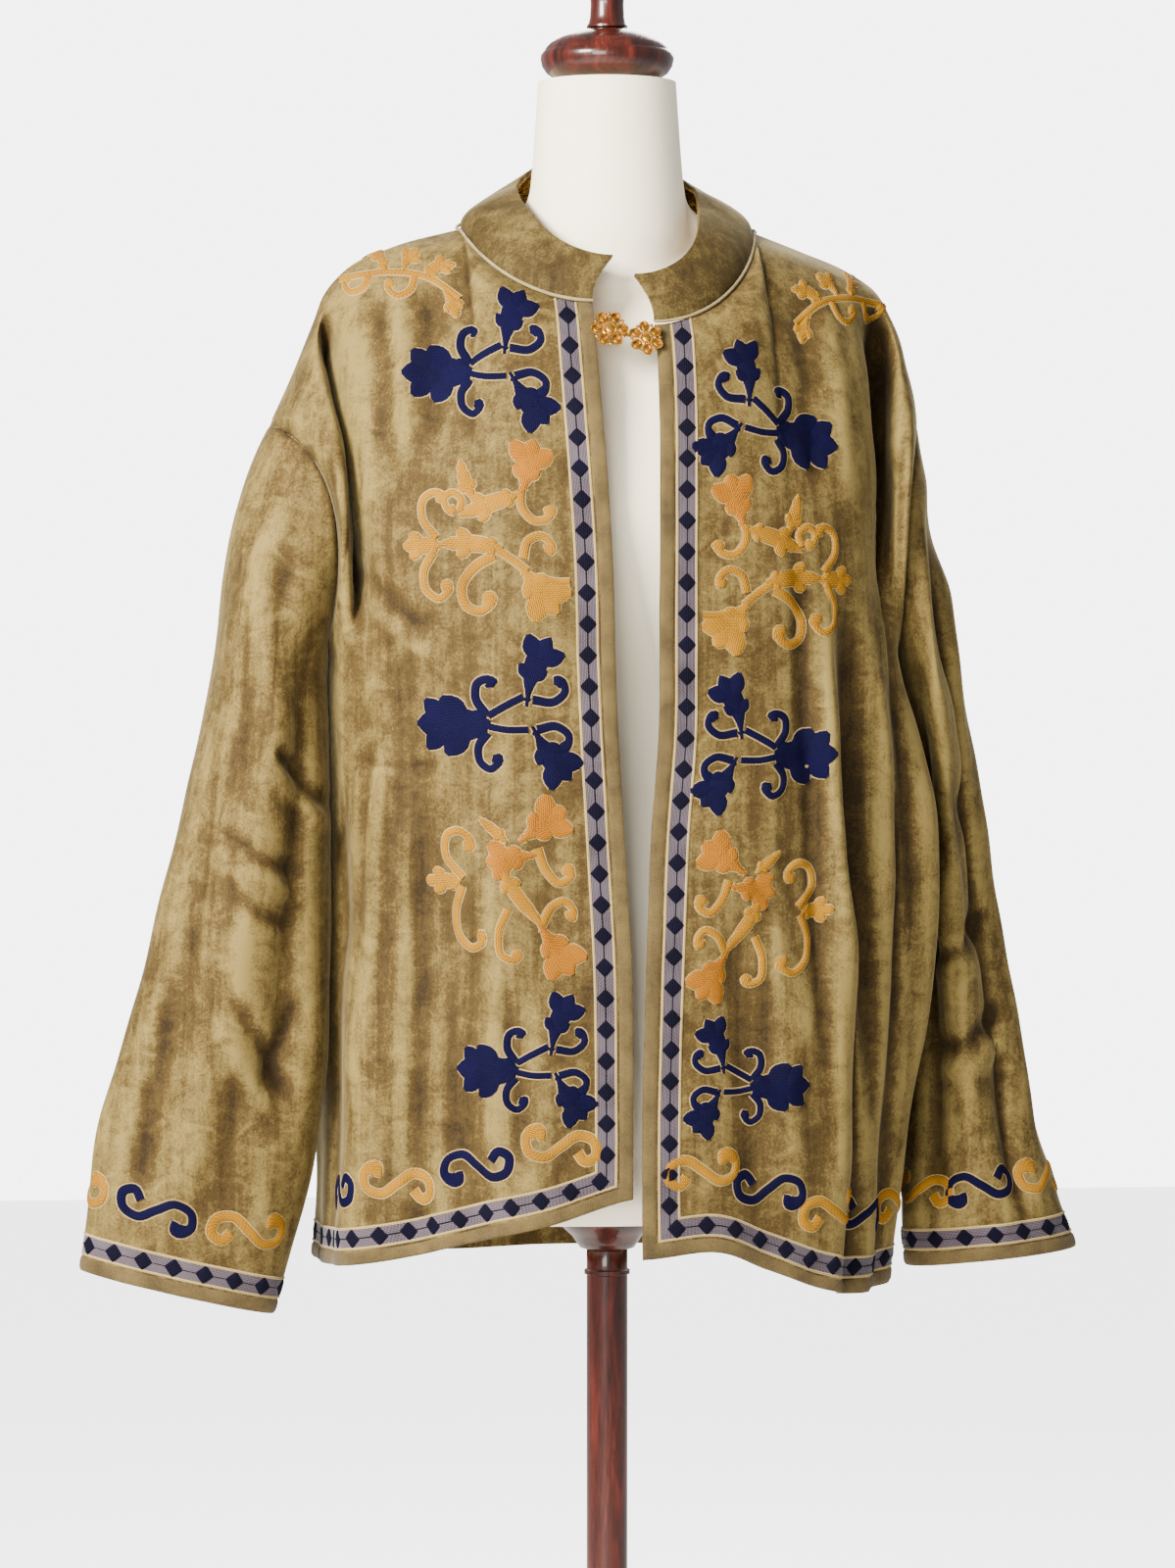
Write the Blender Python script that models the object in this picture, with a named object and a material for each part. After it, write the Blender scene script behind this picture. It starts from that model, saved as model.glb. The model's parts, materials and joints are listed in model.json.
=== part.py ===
"""An open velvet jacket with a stand collar, worn by a limbless dress form on a pole stand.

Metres, +Z up, the jacket's front faces -Y. The wearer's right is at -X.
The cloth is cut like a T: straight fronts and back, dropped shoulders and straight sleeves.
Every panel is a grid of points on the cloth's outer face, and the wall is given its thickness inwards.
"""

import math

import bpy
import numpy as np

# Driving dimensions of the jacket
CLOTH = 0.0016
COLLAR_CLOTH = 0.0022
FACING_CLOTH = 0.0010
SEAM_GAP = 0.0002
SHOULDER_TOP = 1.360
UNDERARM_Z = 1.072
UNDERARM_X = 0.194
NECK_HALF_WIDTH = 0.100
NECK_CURVE = 1.3
BACK_NECK_Y = 0.066
BACK_NECK_RISE = 0.014
ARM_Y = 0.006
COLLAR_HEIGHT = 0.046
COLLAR_END_HEIGHT = 0.036

# The two fronts hang a little differently, so each side has its own neck, hem and shoulder
CUTS = {
    "right": {"sign": -1, "neck_drop": 0.056, "neck_y": -0.0860, "edge_x": 0.0208, "end_lean": 0.015},
    "left": {"sign": 1, "neck_drop": 0.070, "neck_y": -0.0925, "edge_x": 0.0200, "end_lean": 0.012},
}
BACK_HEM = 0.650
BACK_HEM_BLEND = (0.2, 1.0)

# Hem heights of the fronts: share from the front edge to the side, height
FRONT_HEM = {
    "right": ((0.0, 0.711), (0.13, 0.695), (0.27, 0.685), (0.47, 0.6725), (0.62, 0.665), (0.80, 0.660), (1.0, 0.657)),
    "left": ((0.0, 0.671), (0.14, 0.675), (0.28, 0.662), (0.47, 0.646), (0.62, 0.640), (0.80, 0.642), (1.0, 0.648)),
}

# Grid of the panels
NECK_COLUMNS = 7
SHOULDER_COLUMNS = 11
UPPER_ROWS = 11
LOWER_ROWS = 12
COLUMN_SHARE_NECK = 0.30
ROW_SPREAD = 1.25
SQUARENESS = 2.4

# The shoulder seam from the neck point out over the shoulder: share of its length, x, z
SHOULDER_SEAM = {
    "right": (
        (0.00, 0.100, 1.3600),
        (0.24, 0.147, 1.3470),
        (0.42, 0.179, 1.3310),
        (0.51, 0.192, 1.3165),
        (0.62, 0.201, 1.2960),
        (0.76, 0.212, 1.2700),
        (0.90, 0.223, 1.2430),
        (1.00, 0.230, 1.2250),
    ),
    "left": (
        (0.00, 0.100, 1.3600),
        (0.19, 0.134, 1.3470),
        (0.375, 0.1675, 1.3330),
        (0.49, 0.1865, 1.3200),
        (0.61, 0.1985, 1.3000),
        (0.79, 0.2070, 1.2680),
        (1.00, 0.2130, 1.2300),
    ),
}

# How far the cloth has come forward on its way down from the shoulder: share of the drop, share of the depth
FORWARD = ((0.0, 0.0), (0.03, 0.17), (0.08, 0.34), (0.16, 0.50), (0.30, 0.71), (0.50, 0.88), (0.75, 0.98), (1.0, 1.0))

# Rings of the body below the underarm: height, x of the right and the left front edge, half width right and left,
# front depth, back depth
BODY_RINGS = (
    (1.072, 0.0120, 0.0175, 0.1925, 0.1970, 0.142, 0.128),
    (1.020, 0.0100, 0.0170, 0.1920, 0.2010, 0.143, 0.129),
    (0.950, 0.0058, 0.0120, 0.1920, 0.2030, 0.144, 0.131),
    (0.870, 0.0015, 0.0085, 0.1930, 0.2010, 0.146, 0.134),
    (0.760, 0.0005, 0.0055, 0.1960, 0.1930, 0.149, 0.138),
    (0.640, 0.0020, 0.0055, 0.1990, 0.1800, 0.152, 0.142),
)

# Soft folds of the body: side, angle from centre front at the top and at the hem, start height, depth, half width,
# and the share of the depth that is left at the hem
BODY_FOLDS = (
    ("right", 20, 17, 1.16, 0.0035, 6.0, 1.2),
    ("right", 31, 29, 1.02, -0.0060, 6.0, 1.2),
    ("right", 44, 43, 1.10, -0.0080, 6.5, 1.2),
    ("right", 58, 60, 1.12, 0.0075, 8.0, 1.1),
    ("right", 74, 77, 1.05, -0.0045, 6.0, 1.0),
    ("left", 20, 24, 1.10, -0.0040, 7.0, 1.2),
    ("left", 34, 46, 1.16, 0.0075, 5.0, 0.8),
    ("left", 42, 54, 1.12, -0.0090, 5.0, 0.8),
    ("left", 50, 62, 1.18, 0.0085, 4.5, 0.6),
    ("left", 57, 69, 1.12, -0.0060, 4.5, 0.6),
    ("left", 66, 76, 1.12, 0.0270, 8.0, 0.5),
    ("right", 104, 102, 1.04, 0.0045, 7.0, 1.1),
    ("right", 121, 119, 1.10, -0.0080, 7.0, 1.1),
    ("right", 138, 136, 1.14, 0.0090, 8.0, 1.1),
    ("right", 155, 156, 1.12, -0.0070, 7.5, 1.1),
    ("left", 175, 176, 1.16, 0.0080, 9.0, 1.1),
    ("left", 156, 158, 1.08, -0.0065, 7.0, 1.1),
    ("left", 140, 137, 1.14, 0.0090, 8.0, 1.1),
    ("left", 122, 120, 1.10, -0.0085, 7.0, 1.1),
    ("left", 104, 103, 1.04, 0.0045, 7.0, 1.1),
)
# A fold this near the centre back runs over both halves
CENTRE_BACK_FOLD = 170
# Shares of a fold's length over which it grows and then changes towards its share at the hem
FOLD_GROWS = (0.0, 0.40)
FOLD_CHANGES = (0.45, 1.0)
# Above the underarm the folds grow over these shares of the drop, and die out over these shares across
FOLD_GROWS_ABOVE = (0.1, 0.5)
FOLD_ENDS_ACROSS = (0.80, 1.0)

# The crease where the front folds back to the sleeve: column share, depth, half width in columns
ARM_CREASE = {"right": (0.682, 0.042, 0.045), "left": (0.636, 0.034, 0.050)}
ARM_CREASE_GROWS = (0.01, 0.18)
ARM_CREASE_ENDS = (0.70, 1.0)
BACK_CREASE_SHARE = 0.8
ARMHOLE_HOLD = (0.60, 1.0)
ARMHOLE_HOLLOW = {"right": 0.020, "left": 0.010}
HOLLOW_END = 0.16

# Rings of the sleeves: outer x, outer z, inner x, inner z, half depth, y of the middle
SLEEVE_RINGS = {
    "right": (
        (0.230, 1.225, 0.1940, 1.072, 0.066, 0.006),
        (0.249, 1.180, 0.1960, 1.046, 0.070, 0.002),
        (0.262, 1.120, 0.1950, 1.010, 0.072, -0.004),
        (0.271, 1.050, 0.1945, 0.968, 0.069, -0.012),
        (0.288, 0.980, 0.1945, 0.920, 0.061, -0.018),
        (0.302, 0.920, 0.1955, 0.870, 0.054, -0.022),
        (0.316, 0.861, 0.1965, 0.818, 0.048, -0.025),
        (0.332, 0.807, 0.1985, 0.768, 0.043, -0.027),
        (0.346, 0.757, 0.2040, 0.721, 0.039, -0.027),
        (0.355, 0.700, 0.2180, 0.668, 0.035, -0.026),
        (0.361, 0.657, 0.2310, 0.626, 0.033, -0.025),
    ),
    "left": (
        (0.213, 1.230, 0.1980, 1.072, 0.068, 0.006),
        (0.223, 1.176, 0.2030, 1.044, 0.073, 0.012),
        (0.232, 1.116, 0.2080, 1.006, 0.073, 0.020),
        (0.244, 1.048, 0.2115, 0.964, 0.070, 0.027),
        (0.256, 0.988, 0.2130, 0.918, 0.067, 0.030),
        (0.267, 0.925, 0.2140, 0.870, 0.063, 0.030),
        (0.278, 0.868, 0.2130, 0.820, 0.058, 0.028),
        (0.288, 0.810, 0.2110, 0.770, 0.053, 0.022),
        (0.298, 0.747, 0.2070, 0.722, 0.048, 0.012),
        (0.311, 0.700, 0.2040, 0.684, 0.043, -0.002),
        (0.325, 0.662, 0.2050, 0.650, 0.035, -0.006),
    ),
}
SLEEVE_ROWS = 19

# Soft folds of the sleeves: angle round the tube (0 outer, 90 front, 180 body side), start and end share, depth,
# half width
SLEEVE_FOLDS = {
    "right": (
        (55, 0.10, 0.95, -0.0060, 13),
        (88, 0.05, 0.80, 0.0050, 13),
        (122, 0.08, 0.90, -0.0070, 12),
        (236, 0.08, 0.92, -0.0065, 13),
        (275, 0.12, 1.05, 0.0055, 14),
        (312, 0.05, 0.85, -0.0055, 12),
    ),
    "left": (
        (30, 0.10, 0.90, 0.0050, 11),
        (62, 0.04, 1.02, -0.0085, 11),
        (96, 0.06, 0.90, 0.0060, 13),
        (132, 0.10, 0.95, -0.0080, 12),
        (232, 0.08, 0.92, -0.0070, 13),
        (272, 0.12, 1.05, 0.0060, 14),
        (310, 0.05, 0.85, -0.0055, 12),
    ),
}
SLEEVE_FOLD_GROWS = 0.22
SLEEVE_FOLD_ENDS = 0.20

# The collar leans in over the neck: its top edge as a share of the seam's x and y, and how the lean grows upwards
COLLAR_ROWS = 4
COLLAR_HALF_COLUMNS = 12
COLLAR_LIFT = 0.0010
COLLAR_LEAN_SIDE = 0.62
COLLAR_LEAN_FRONT = 0.90
COLLAR_LEAN_BACK = 0.80
COLLAR_LEAN_GROWTH = 1.3
COLLAR_BELLY = 0.15
COLLAR_LEAST_RISE = 0.6

# Dress form, ring by ring: height, half width, front depth, back depth, radius of the neck that grows out of it
FORM_RINGS = (
    (0.688, 0.146, 0.094, 0.098, 0.0),
    (0.694, 0.156, 0.102, 0.106, 0.0),
    (0.740, 0.163, 0.108, 0.112, 0.0),
    (0.800, 0.165, 0.109, 0.116, 0.0),
    (0.880, 0.151, 0.101, 0.105, 0.0),
    (0.950, 0.130, 0.092, 0.088, 0.0),
    (1.005, 0.121, 0.089, 0.081, 0.0),
    (1.060, 0.127, 0.096, 0.085, 0.0),
    (1.115, 0.139, 0.111, 0.093, 0.0),
    (1.165, 0.147, 0.117, 0.099, 0.0),
    (1.205, 0.154, 0.108, 0.101, 0.0),
    (1.245, 0.163, 0.090, 0.099, 0.0),
    (1.275, 0.170, 0.076, 0.092, 0.0),
    (1.297, 0.172, 0.060, 0.074, 0.0),
    (1.314, 0.1700, 0.048, 0.058, 0.052),
    (1.330, 0.1605, 0.036, 0.044, 0.054),
    (1.341, 0.1370, 0.025, 0.032, 0.055),
    (1.349, 0.1170, 0.017, 0.022, 0.0555),
    (1.355, 0.1000, 0.012, 0.015, 0.0555),
    (1.360, 0.0840, 0.010, 0.012, 0.0550),
    (1.366, 0.0700, 0.010, 0.010, 0.0545),
    (1.376, 0.0500, 0.010, 0.010, 0.0535),
    (1.397, 0.0200, 0.010, 0.010, 0.0515),
    (1.430, 0.0100, 0.010, 0.010, 0.0490),
    (1.460, 0.0100, 0.010, 0.010, 0.0470),
)
FORM_COLUMNS = 36
FORM_SQUARENESS = 2.15
FORM_BLEND = 7

# Turned pieces: radius, height above the piece's foot
CAP_PROFILE = (
    (0.0, 0.0003),
    (0.030, 0.0003),
    (0.041, 0.006),
    (0.0455, 0.016),
    (0.044, 0.023),
    (0.034, 0.031),
    (0.019, 0.036),
    (0.0, 0.036),
)
FINIAL_PROFILE = (
    (0.0, 0.0363),
    (0.014, 0.0363),
    (0.0125, 0.043),
    (0.0115, 0.060),
    (0.015, 0.068),
    (0.019, 0.080),
    (0.0165, 0.094),
    (0.008, 0.102),
    (0.0, 0.103),
)
BASE_PROFILE = ((0.0, 0.0), (0.186, 0.0), (0.190, 0.004), (0.190, 0.014), (0.180, 0.022), (0.0, 0.022))
BOSS_PROFILE = ((0.0, 0.0), (0.030, 0.0), (0.030, 0.010), (0.0216, 0.026), (0.0186, 0.040), (0.0, 0.040))
SOCKET_PROFILE = ((0.0, 0.0), (0.0187, 0.0), (0.0255, 0.010), (0.034, 0.018), (0.034, 0.024), (0.0, 0.024))
POLE_RADIUS = 0.014
TOUCH_GAP = 0.0003
TURNED_STEPS = 32

# Clasp: two flower plates that hook together at the neck: middle x and z, back y, petal radius, turn of the petals
CLASP = {
    "clasp_right": (-0.0119, 1.2850, -0.1049, 0.0124, 0.0),
    "clasp_left": (0.0124, 1.2790, -0.1057, 0.0115, 0.6),
}
CLASP_SLOPE = 0.56
CLASP_PLATE = 0.0016
CLASP_PETALS = 5
CLASP_STEPS_A_PETAL = 8
CLASP_WAIST = 0.74
HOOK_ENDS = ((-0.0055, -0.1048, 1.2822), (0.0065, -0.1029, 1.2802))
HOOK_HALF_HEIGHT = 0.0012
HOOK_HALF_DEPTH = 0.0005

# Trim: narrow bound edges that lie on the cloth, and a thin roll on the neck seam
BINDING_WIDTH = 0.007
BINDING_CLOTH = 0.0008
BINDING_STAND_OFF = 0.0006
PIPING_RADIUS = 0.0010
PIPING_STAND_OFF = 0.0010
PIPING_STEPS = 6

COLOURS = {
    "velvet": ((0.36, 0.27, 0.12), 0.75, 0.0),
    "facing": ((0.42, 0.24, 0.05), 0.6, 0.0),
    "piping": ((0.58, 0.47, 0.26), 0.7, 0.0),
    "form_jersey": ((0.86, 0.83, 0.74), 0.8, 0.0),
    "dark_wood": ((0.16, 0.03, 0.015), 0.25, 0.0),
    "gilt": ((0.65, 0.33, 0.04), 0.35, 1.0),
}


def through(rows, column, at):
    """A column of a table read from a smooth curve through its rows, whose first column runs one way."""
    table = np.array(rows, float)
    if table[0, 0] > table[-1, 0]:
        table = table[::-1]
    stations, values = table[:, 0], table[:, column]
    slopes = np.gradient(values, stations)
    at = np.clip(np.asarray(at, float), stations[0], stations[-1])
    i = np.clip(np.searchsorted(stations, at, side="right") - 1, 0, len(stations) - 2)
    width = stations[i + 1] - stations[i]
    f = (at - stations[i]) / width
    a = 2 * f**3 - 3 * f**2 + 1
    b = f**3 - 2 * f**2 + f
    return a * values[i] + b * width * slopes[i] + (1 - a) * values[i + 1] + (f**3 - f**2) * width * slopes[i + 1]


def ease(x, low, high):
    """0 below low, 1 above high, smooth between."""
    f = np.clip((np.asarray(x, float) - low) / (high - low), 0, 1)
    return f * f * (3 - 2 * f)


def bump(x, middle, half_width):
    """A soft hill of height 1 round the middle."""
    return np.exp(-(((np.asarray(x, float) - middle) / half_width) ** 2))


def column_shares():
    """Shares across a panel, from its centre edge to the armhole, with one on the neck point."""
    neck = np.linspace(0, COLUMN_SHARE_NECK, NECK_COLUMNS)
    shoulder = np.linspace(COLUMN_SHARE_NECK, 1, SHOULDER_COLUMNS + 1)[1:]
    return np.concatenate([neck, shoulder])


def armhole_ring(side, turn):
    """Points of the armhole seam; turn 0 is its outer end, 0.5 the underarm, and the front lies before 0.5."""
    outer_x, outer_z, inner_x, inner_z, depth, middle_y = SLEEVE_RINGS[side][0]
    angle = 2 * math.pi * np.asarray(turn, float)
    x = (outer_x + inner_x) / 2 + (outer_x - inner_x) / 2 * np.cos(angle)
    z = (outer_z + inner_z) / 2 + (outer_z - inner_z) / 2 * np.cos(angle)
    hollow = ARMHOLE_HOLLOW[side] * np.sin(angle) ** 2
    return np.stack([x - hollow, middle_y - depth * np.sin(angle), z + hollow], axis=-1)


def neck_line(side, angle, front):
    """A place on the neck seam, on the +X side; angle 0 is the shoulder and a quarter turn the centre."""
    sine = math.sin(angle)
    if not front:
        x = NECK_HALF_WIDTH * math.cos(angle)
        return x, ARM_Y + (BACK_NECK_Y - ARM_Y) * sine, SHOULDER_TOP + BACK_NECK_RISE * sine
    cut = CUTS[side]
    x = NECK_HALF_WIDTH + (cut["edge_x"] - NECK_HALF_WIDTH) * (1 - math.cos(angle))
    return x, ARM_Y + (cut["neck_y"] - ARM_Y) * sine, SHOULDER_TOP - cut["neck_drop"] * sine**NECK_CURVE


def top_edge(side, shares, front):
    """The neckline and shoulder seam of a panel, on the +X side."""
    points = []
    for share in shares:
        if share <= COLUMN_SHARE_NECK:
            points.append(neck_line(side, (1 - share / COLUMN_SHARE_NECK) * math.pi / 2, front))
        else:
            along = (share - COLUMN_SHARE_NECK) / (1 - COLUMN_SHARE_NECK)
            x, z = (float(through(SHOULDER_SEAM[side], column, along)) for column in (1, 2))
            points.append((x, ARM_Y, z))
    return np.array(points)


def ring_points(side, shares, z, front):
    """Points of the body's ring at a height, on the +X side, before folds."""
    gap = through(BODY_RINGS, 1 if side == "right" else 2, z) if front else 0.0
    half_width = through(BODY_RINGS, 3 if side == "right" else 4, z)
    depth = through(BODY_RINGS, 5 if front else 6, z)
    angle = np.asarray(shares) * math.pi / 2
    out = np.sin(angle) ** (2 / SQUARENESS)
    forward = np.cos(angle).clip(0) ** (2 / SQUARENESS)
    x = gap + (half_width - gap) * out
    y = ARM_Y + (-depth if front else depth) * forward
    return x, y


def fold_depth(side, degrees, z, hem_z):
    """How far the folds push the cloth outwards, at an angle from centre front."""
    total = np.zeros(np.broadcast(degrees, z).shape)
    for fold_side, top, hem, start, depth, half_width, left in BODY_FOLDS:
        if fold_side != side and top <= CENTRE_BACK_FOLD:
            continue
        down = np.clip((start - z) / (start - hem_z), 0, 1)
        grow = ease(down, *FOLD_GROWS) * (1 + (left - 1) * ease(down, *FOLD_CHANGES))
        total = total + depth * grow * bump(degrees, top + (hem - top) * down, half_width)
    return total


def panel_grid(side, front):
    """A half panel's outer face as rows from its top edge down to the hem, on the +X side."""
    shares = column_shares()
    top = top_edge(side, shares, front)
    under_x, under_y = ring_points(side, shares, UNDERARM_Z, front)
    seam_turn = np.linspace(0, 0.5, UPPER_ROWS + 1)
    seam = armhole_ring(side, seam_turn if front else 1 - seam_turn)
    hold = ease(shares, *ARMHOLE_HOLD)
    crease_column, crease_depth, crease_width = ARM_CREASE[side]
    crease = crease_depth * bump(shares, crease_column, crease_width)
    degrees = 90 * shares if front else 180 - 90 * shares
    rows = []
    for k in range(UPPER_ROWS + 1):
        drop = (k / UPPER_ROWS) ** ROW_SPREAD
        forward = through(FORWARD, 1, drop)
        x = top[:, 0] + (under_x - top[:, 0]) * ease(drop, 0, 1)
        y = top[:, 1] + (under_y - top[:, 1]) * forward
        z = top[:, 2] + (UNDERARM_Z - top[:, 2]) * drop
        row = np.stack([x, y, z], axis=1)
        row += hold[:, None] * (seam[k] - row[-1])
        inward = crease * ease(drop, *ARM_CREASE_GROWS) * (1 - ease(drop, *ARM_CREASE_ENDS))
        row[:, 1] += inward if front else -inward * BACK_CREASE_SHARE
        push = fold_depth(side, degrees, row[:, 2], BACK_HEM)
        push = push * (1 - ease(shares, *FOLD_ENDS_ACROSS)) * ease(drop, *FOLD_GROWS_ABOVE)
        row[:, 0] += push * np.sin(np.radians(degrees))
        row[:, 1] -= push * np.cos(np.radians(degrees))
        rows.append(row)
    if front:
        hem = through(FRONT_HEM[side], 1, shares)
    else:
        hem = BACK_HEM + (FRONT_HEM[side][-1][1] - BACK_HEM) * ease(shares, *BACK_HEM_BLEND)
    for k in range(1, LOWER_ROWS + 1):
        share = k / LOWER_ROWS
        z = UNDERARM_Z + (hem - UNDERARM_Z) * share
        x, y = ring_points(side, shares, z, front)
        push = fold_depth(side, degrees, z, BACK_HEM)
        x = x + push * np.sin(np.radians(degrees))
        y = y - push * np.cos(np.radians(degrees))
        rows.append(np.stack([x, y, z], axis=1))
    return np.array(rows)


def sleeve_grid(side):
    """A sleeve's outer face as rings from the armhole seam to the cuff, on the +X side."""
    table = np.array(SLEEVE_RINGS[side])
    stations = np.linspace(0, 1, len(table))[:, None]
    rows = np.hstack([stations, table])
    columns = 2 * UPPER_ROWS
    turn = np.arange(columns) / columns
    angle = 2 * math.pi * turn
    grid = [armhole_ring(side, turn)]
    for k in range(1, SLEEVE_ROWS + 1):
        share = k / SLEEVE_ROWS
        outer_x, outer_z, inner_x, inner_z, depth, middle_y = (through(rows, c, share) for c in range(1, 7))
        push = np.zeros(columns)
        for degrees, start, end, size, half_width in SLEEVE_FOLDS[side]:
            window = ease(share, start, start + SLEEVE_FOLD_GROWS) * (1 - ease(share, end - SLEEVE_FOLD_ENDS, end))
            away = (np.degrees(angle) - degrees + 180) % 360 - 180
            push += size * window * np.exp(-((away / half_width) ** 2))
        x = (outer_x + inner_x) / 2 + ((outer_x - inner_x) / 2 + push) * np.cos(angle)
        z = (outer_z + inner_z) / 2 + (outer_z - inner_z) / 2 * np.cos(angle)
        y = middle_y - (depth + push) * np.sin(angle)
        hollow = ARMHOLE_HOLLOW[side] * np.sin(angle) ** 2 * (1 - ease(share, 0, HOLLOW_END))
        x = x - hollow
        z = z + hollow
        grid.append(np.stack([x, y, z], axis=1))
    return np.array(grid)


def collar_column(side, turn):
    """The collar's outer face from the neck seam up, on the +X side; turn 0 is its front end and 1 the centre back."""
    front = turn <= 0.5
    angle = abs(0.5 - turn) * math.pi
    base = np.array(neck_line(side, angle, front))
    x, y, z = base
    end = math.sin(angle) ** 3 if front else 0.0
    top_x = x * COLLAR_LEAN_SIDE * (1 - end) + (x - CUTS[side]["end_lean"]) * end
    top_y = ARM_Y + (y - ARM_Y) * (COLLAR_LEAN_FRONT if front else COLLAR_LEAN_BACK)
    tall = COLLAR_HEIGHT + (COLLAR_END_HEIGHT - COLLAR_HEIGHT) * end
    lean = np.array([top_x, top_y, z]) - base
    rise = math.sqrt(max(tall**2 - lean @ lean, (COLLAR_LEAST_RISE * tall) ** 2))
    column = []
    for k in range(COLLAR_ROWS + 1):
        share = k / COLLAR_ROWS
        inward = share**COLLAR_LEAN_GROWTH - COLLAR_BELLY * math.sin(math.pi * share)
        column.append(base + lean * inward + np.array([0, 0, rise * share]))
    return column


def collar_grid():
    """The stand collar's outer face from the wearer's right end round the back to the left end, bottom row first."""
    halves = []
    for side in ("right", "left"):
        columns = [collar_column(side, turn) for turn in np.linspace(0, 1, COLLAR_HALF_COLUMNS + 1)]
        half = np.array(columns).transpose(1, 0, 2)
        half[:, :, 0] *= CUTS[side]["sign"]
        halves.append(half)
    return np.concatenate([halves[0], halves[1][:, ::-1][:, 1:]], axis=1)


def grid_normals(grid, closed):
    """Outward normals of a grid whose rows run down and whose columns run round."""
    if closed:
        across = np.roll(grid, -1, axis=1) - np.roll(grid, 1, axis=1)
    else:
        across = np.gradient(grid, axis=1)
    down = np.gradient(grid, axis=0)
    normals = np.cross(down, across)
    return normals / np.linalg.norm(normals, axis=2, keepdims=True)


def share_seam_normals(panels):
    """Panels that meet at a seam get one normal there, so that their walls meet without crossing."""
    total = {}
    for panel in panels.values():
        for point, normal in zip(panel["grid"].reshape(-1, 3), panel["normals"].reshape(-1, 3)):
            key = tuple(np.round(point, 6))
            total[key] = total.get(key, 0) + normal
    for panel in panels.values():
        flat = panel["normals"].reshape(-1, 3)
        for i, point in enumerate(panel["grid"].reshape(-1, 3)):
            normal = total[tuple(np.round(point, 6))]
            flat[i] = normal / np.linalg.norm(normal)


def pull_back(grid, edges, amount):
    """Moves the grid's named edges in from their seams."""
    moved = grid.copy()
    pairs = {"top": (0, 1, 0), "bottom": (-1, -2, 0), "first": (0, 1, 1), "last": (-1, -2, 1)}
    for edge in edges:
        outer, inner, axis = pairs[edge]
        a = grid.take(outer, axis=axis)
        step = grid.take(inner, axis=axis) - a
        step = step / np.linalg.norm(step, axis=1, keepdims=True) * amount
        if axis == 0:
            moved[outer] += step
        else:
            moved[:, outer] += step
    return moved


def colour_of(obj, name):
    """Gives the object a material of its own."""
    colour, roughness, metallic = COLOURS[name]
    material = bpy.data.materials.new(obj.name + "_" + name)
    material.use_nodes = True
    shader = material.node_tree.nodes["Principled BSDF"]
    shader.inputs["Base Color"].default_value = (*colour, 1)
    shader.inputs["Roughness"].default_value = roughness
    shader.inputs["Metallic"].default_value = metallic
    obj.data.materials.append(material)


def enclosed(points, faces):
    """Six times the volume inside the faces, below 0 when they face inwards."""
    points = np.asarray(points)
    total = 0.0
    for face in faces:
        first = points[face[0]]
        for b, c in zip(face[1:], face[2:]):
            total += np.dot(first, np.cross(points[b], points[c]))
    return total


def add_mesh(name, points, faces, colour):
    """An object from points and faces, which are turned to face out."""
    if enclosed(points, faces) < 0:
        faces = [[face[0], *reversed(face[1:])] for face in faces]
    mesh = bpy.data.meshes.new(name)
    mesh.from_pydata([tuple(p) for p in points], [], faces)
    mesh.update()
    obj = bpy.data.objects.new(name, mesh)
    bpy.context.scene.collection.objects.link(obj)
    colour_of(obj, colour)
    mesh.shade_smooth()
    mesh.set_sharp_from_angle(angle=math.radians(50))
    return obj


def wall(name, outer, inner, closed, colour):
    """A cloth wall between an outer and an inner grid; closed joins the last column to the first."""
    rows, columns = outer.shape[:2]
    count = rows * columns
    faces = []
    across = columns if closed else columns - 1

    def at(row, column, layer):
        return layer * count + row * columns + column % columns

    for r in range(rows - 1):
        for c in range(across):
            quad = [at(r, c, 0), at(r + 1, c, 0), at(r + 1, c + 1, 0), at(r, c + 1, 0)]
            faces.append(quad)
            faces.append([quad[i] + count for i in (0, 3, 2, 1)])
    for c in range(across):
        faces.append([at(0, c, 0), at(0, c + 1, 0), at(0, c + 1, 1), at(0, c, 1)])
        faces.append([at(rows - 1, c + 1, 0), at(rows - 1, c, 0), at(rows - 1, c, 1), at(rows - 1, c + 1, 1)])
    if not closed:
        last = columns - 1
        for r in range(rows - 1):
            faces.append([at(r + 1, 0, 0), at(r, 0, 0), at(r, 0, 1), at(r + 1, 0, 1)])
            faces.append([at(r, last, 0), at(r + 1, last, 0), at(r + 1, last, 1), at(r, last, 1)])
    points = np.concatenate([outer.reshape(-1, 3), inner.reshape(-1, 3)])
    return add_mesh(name, points, faces, colour)


def mirrored(grid):
    """The grid on the -X side, with its columns turned round so that it still faces out."""
    return (grid * np.array([-1, 1, 1]))[:, ::-1]


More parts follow.
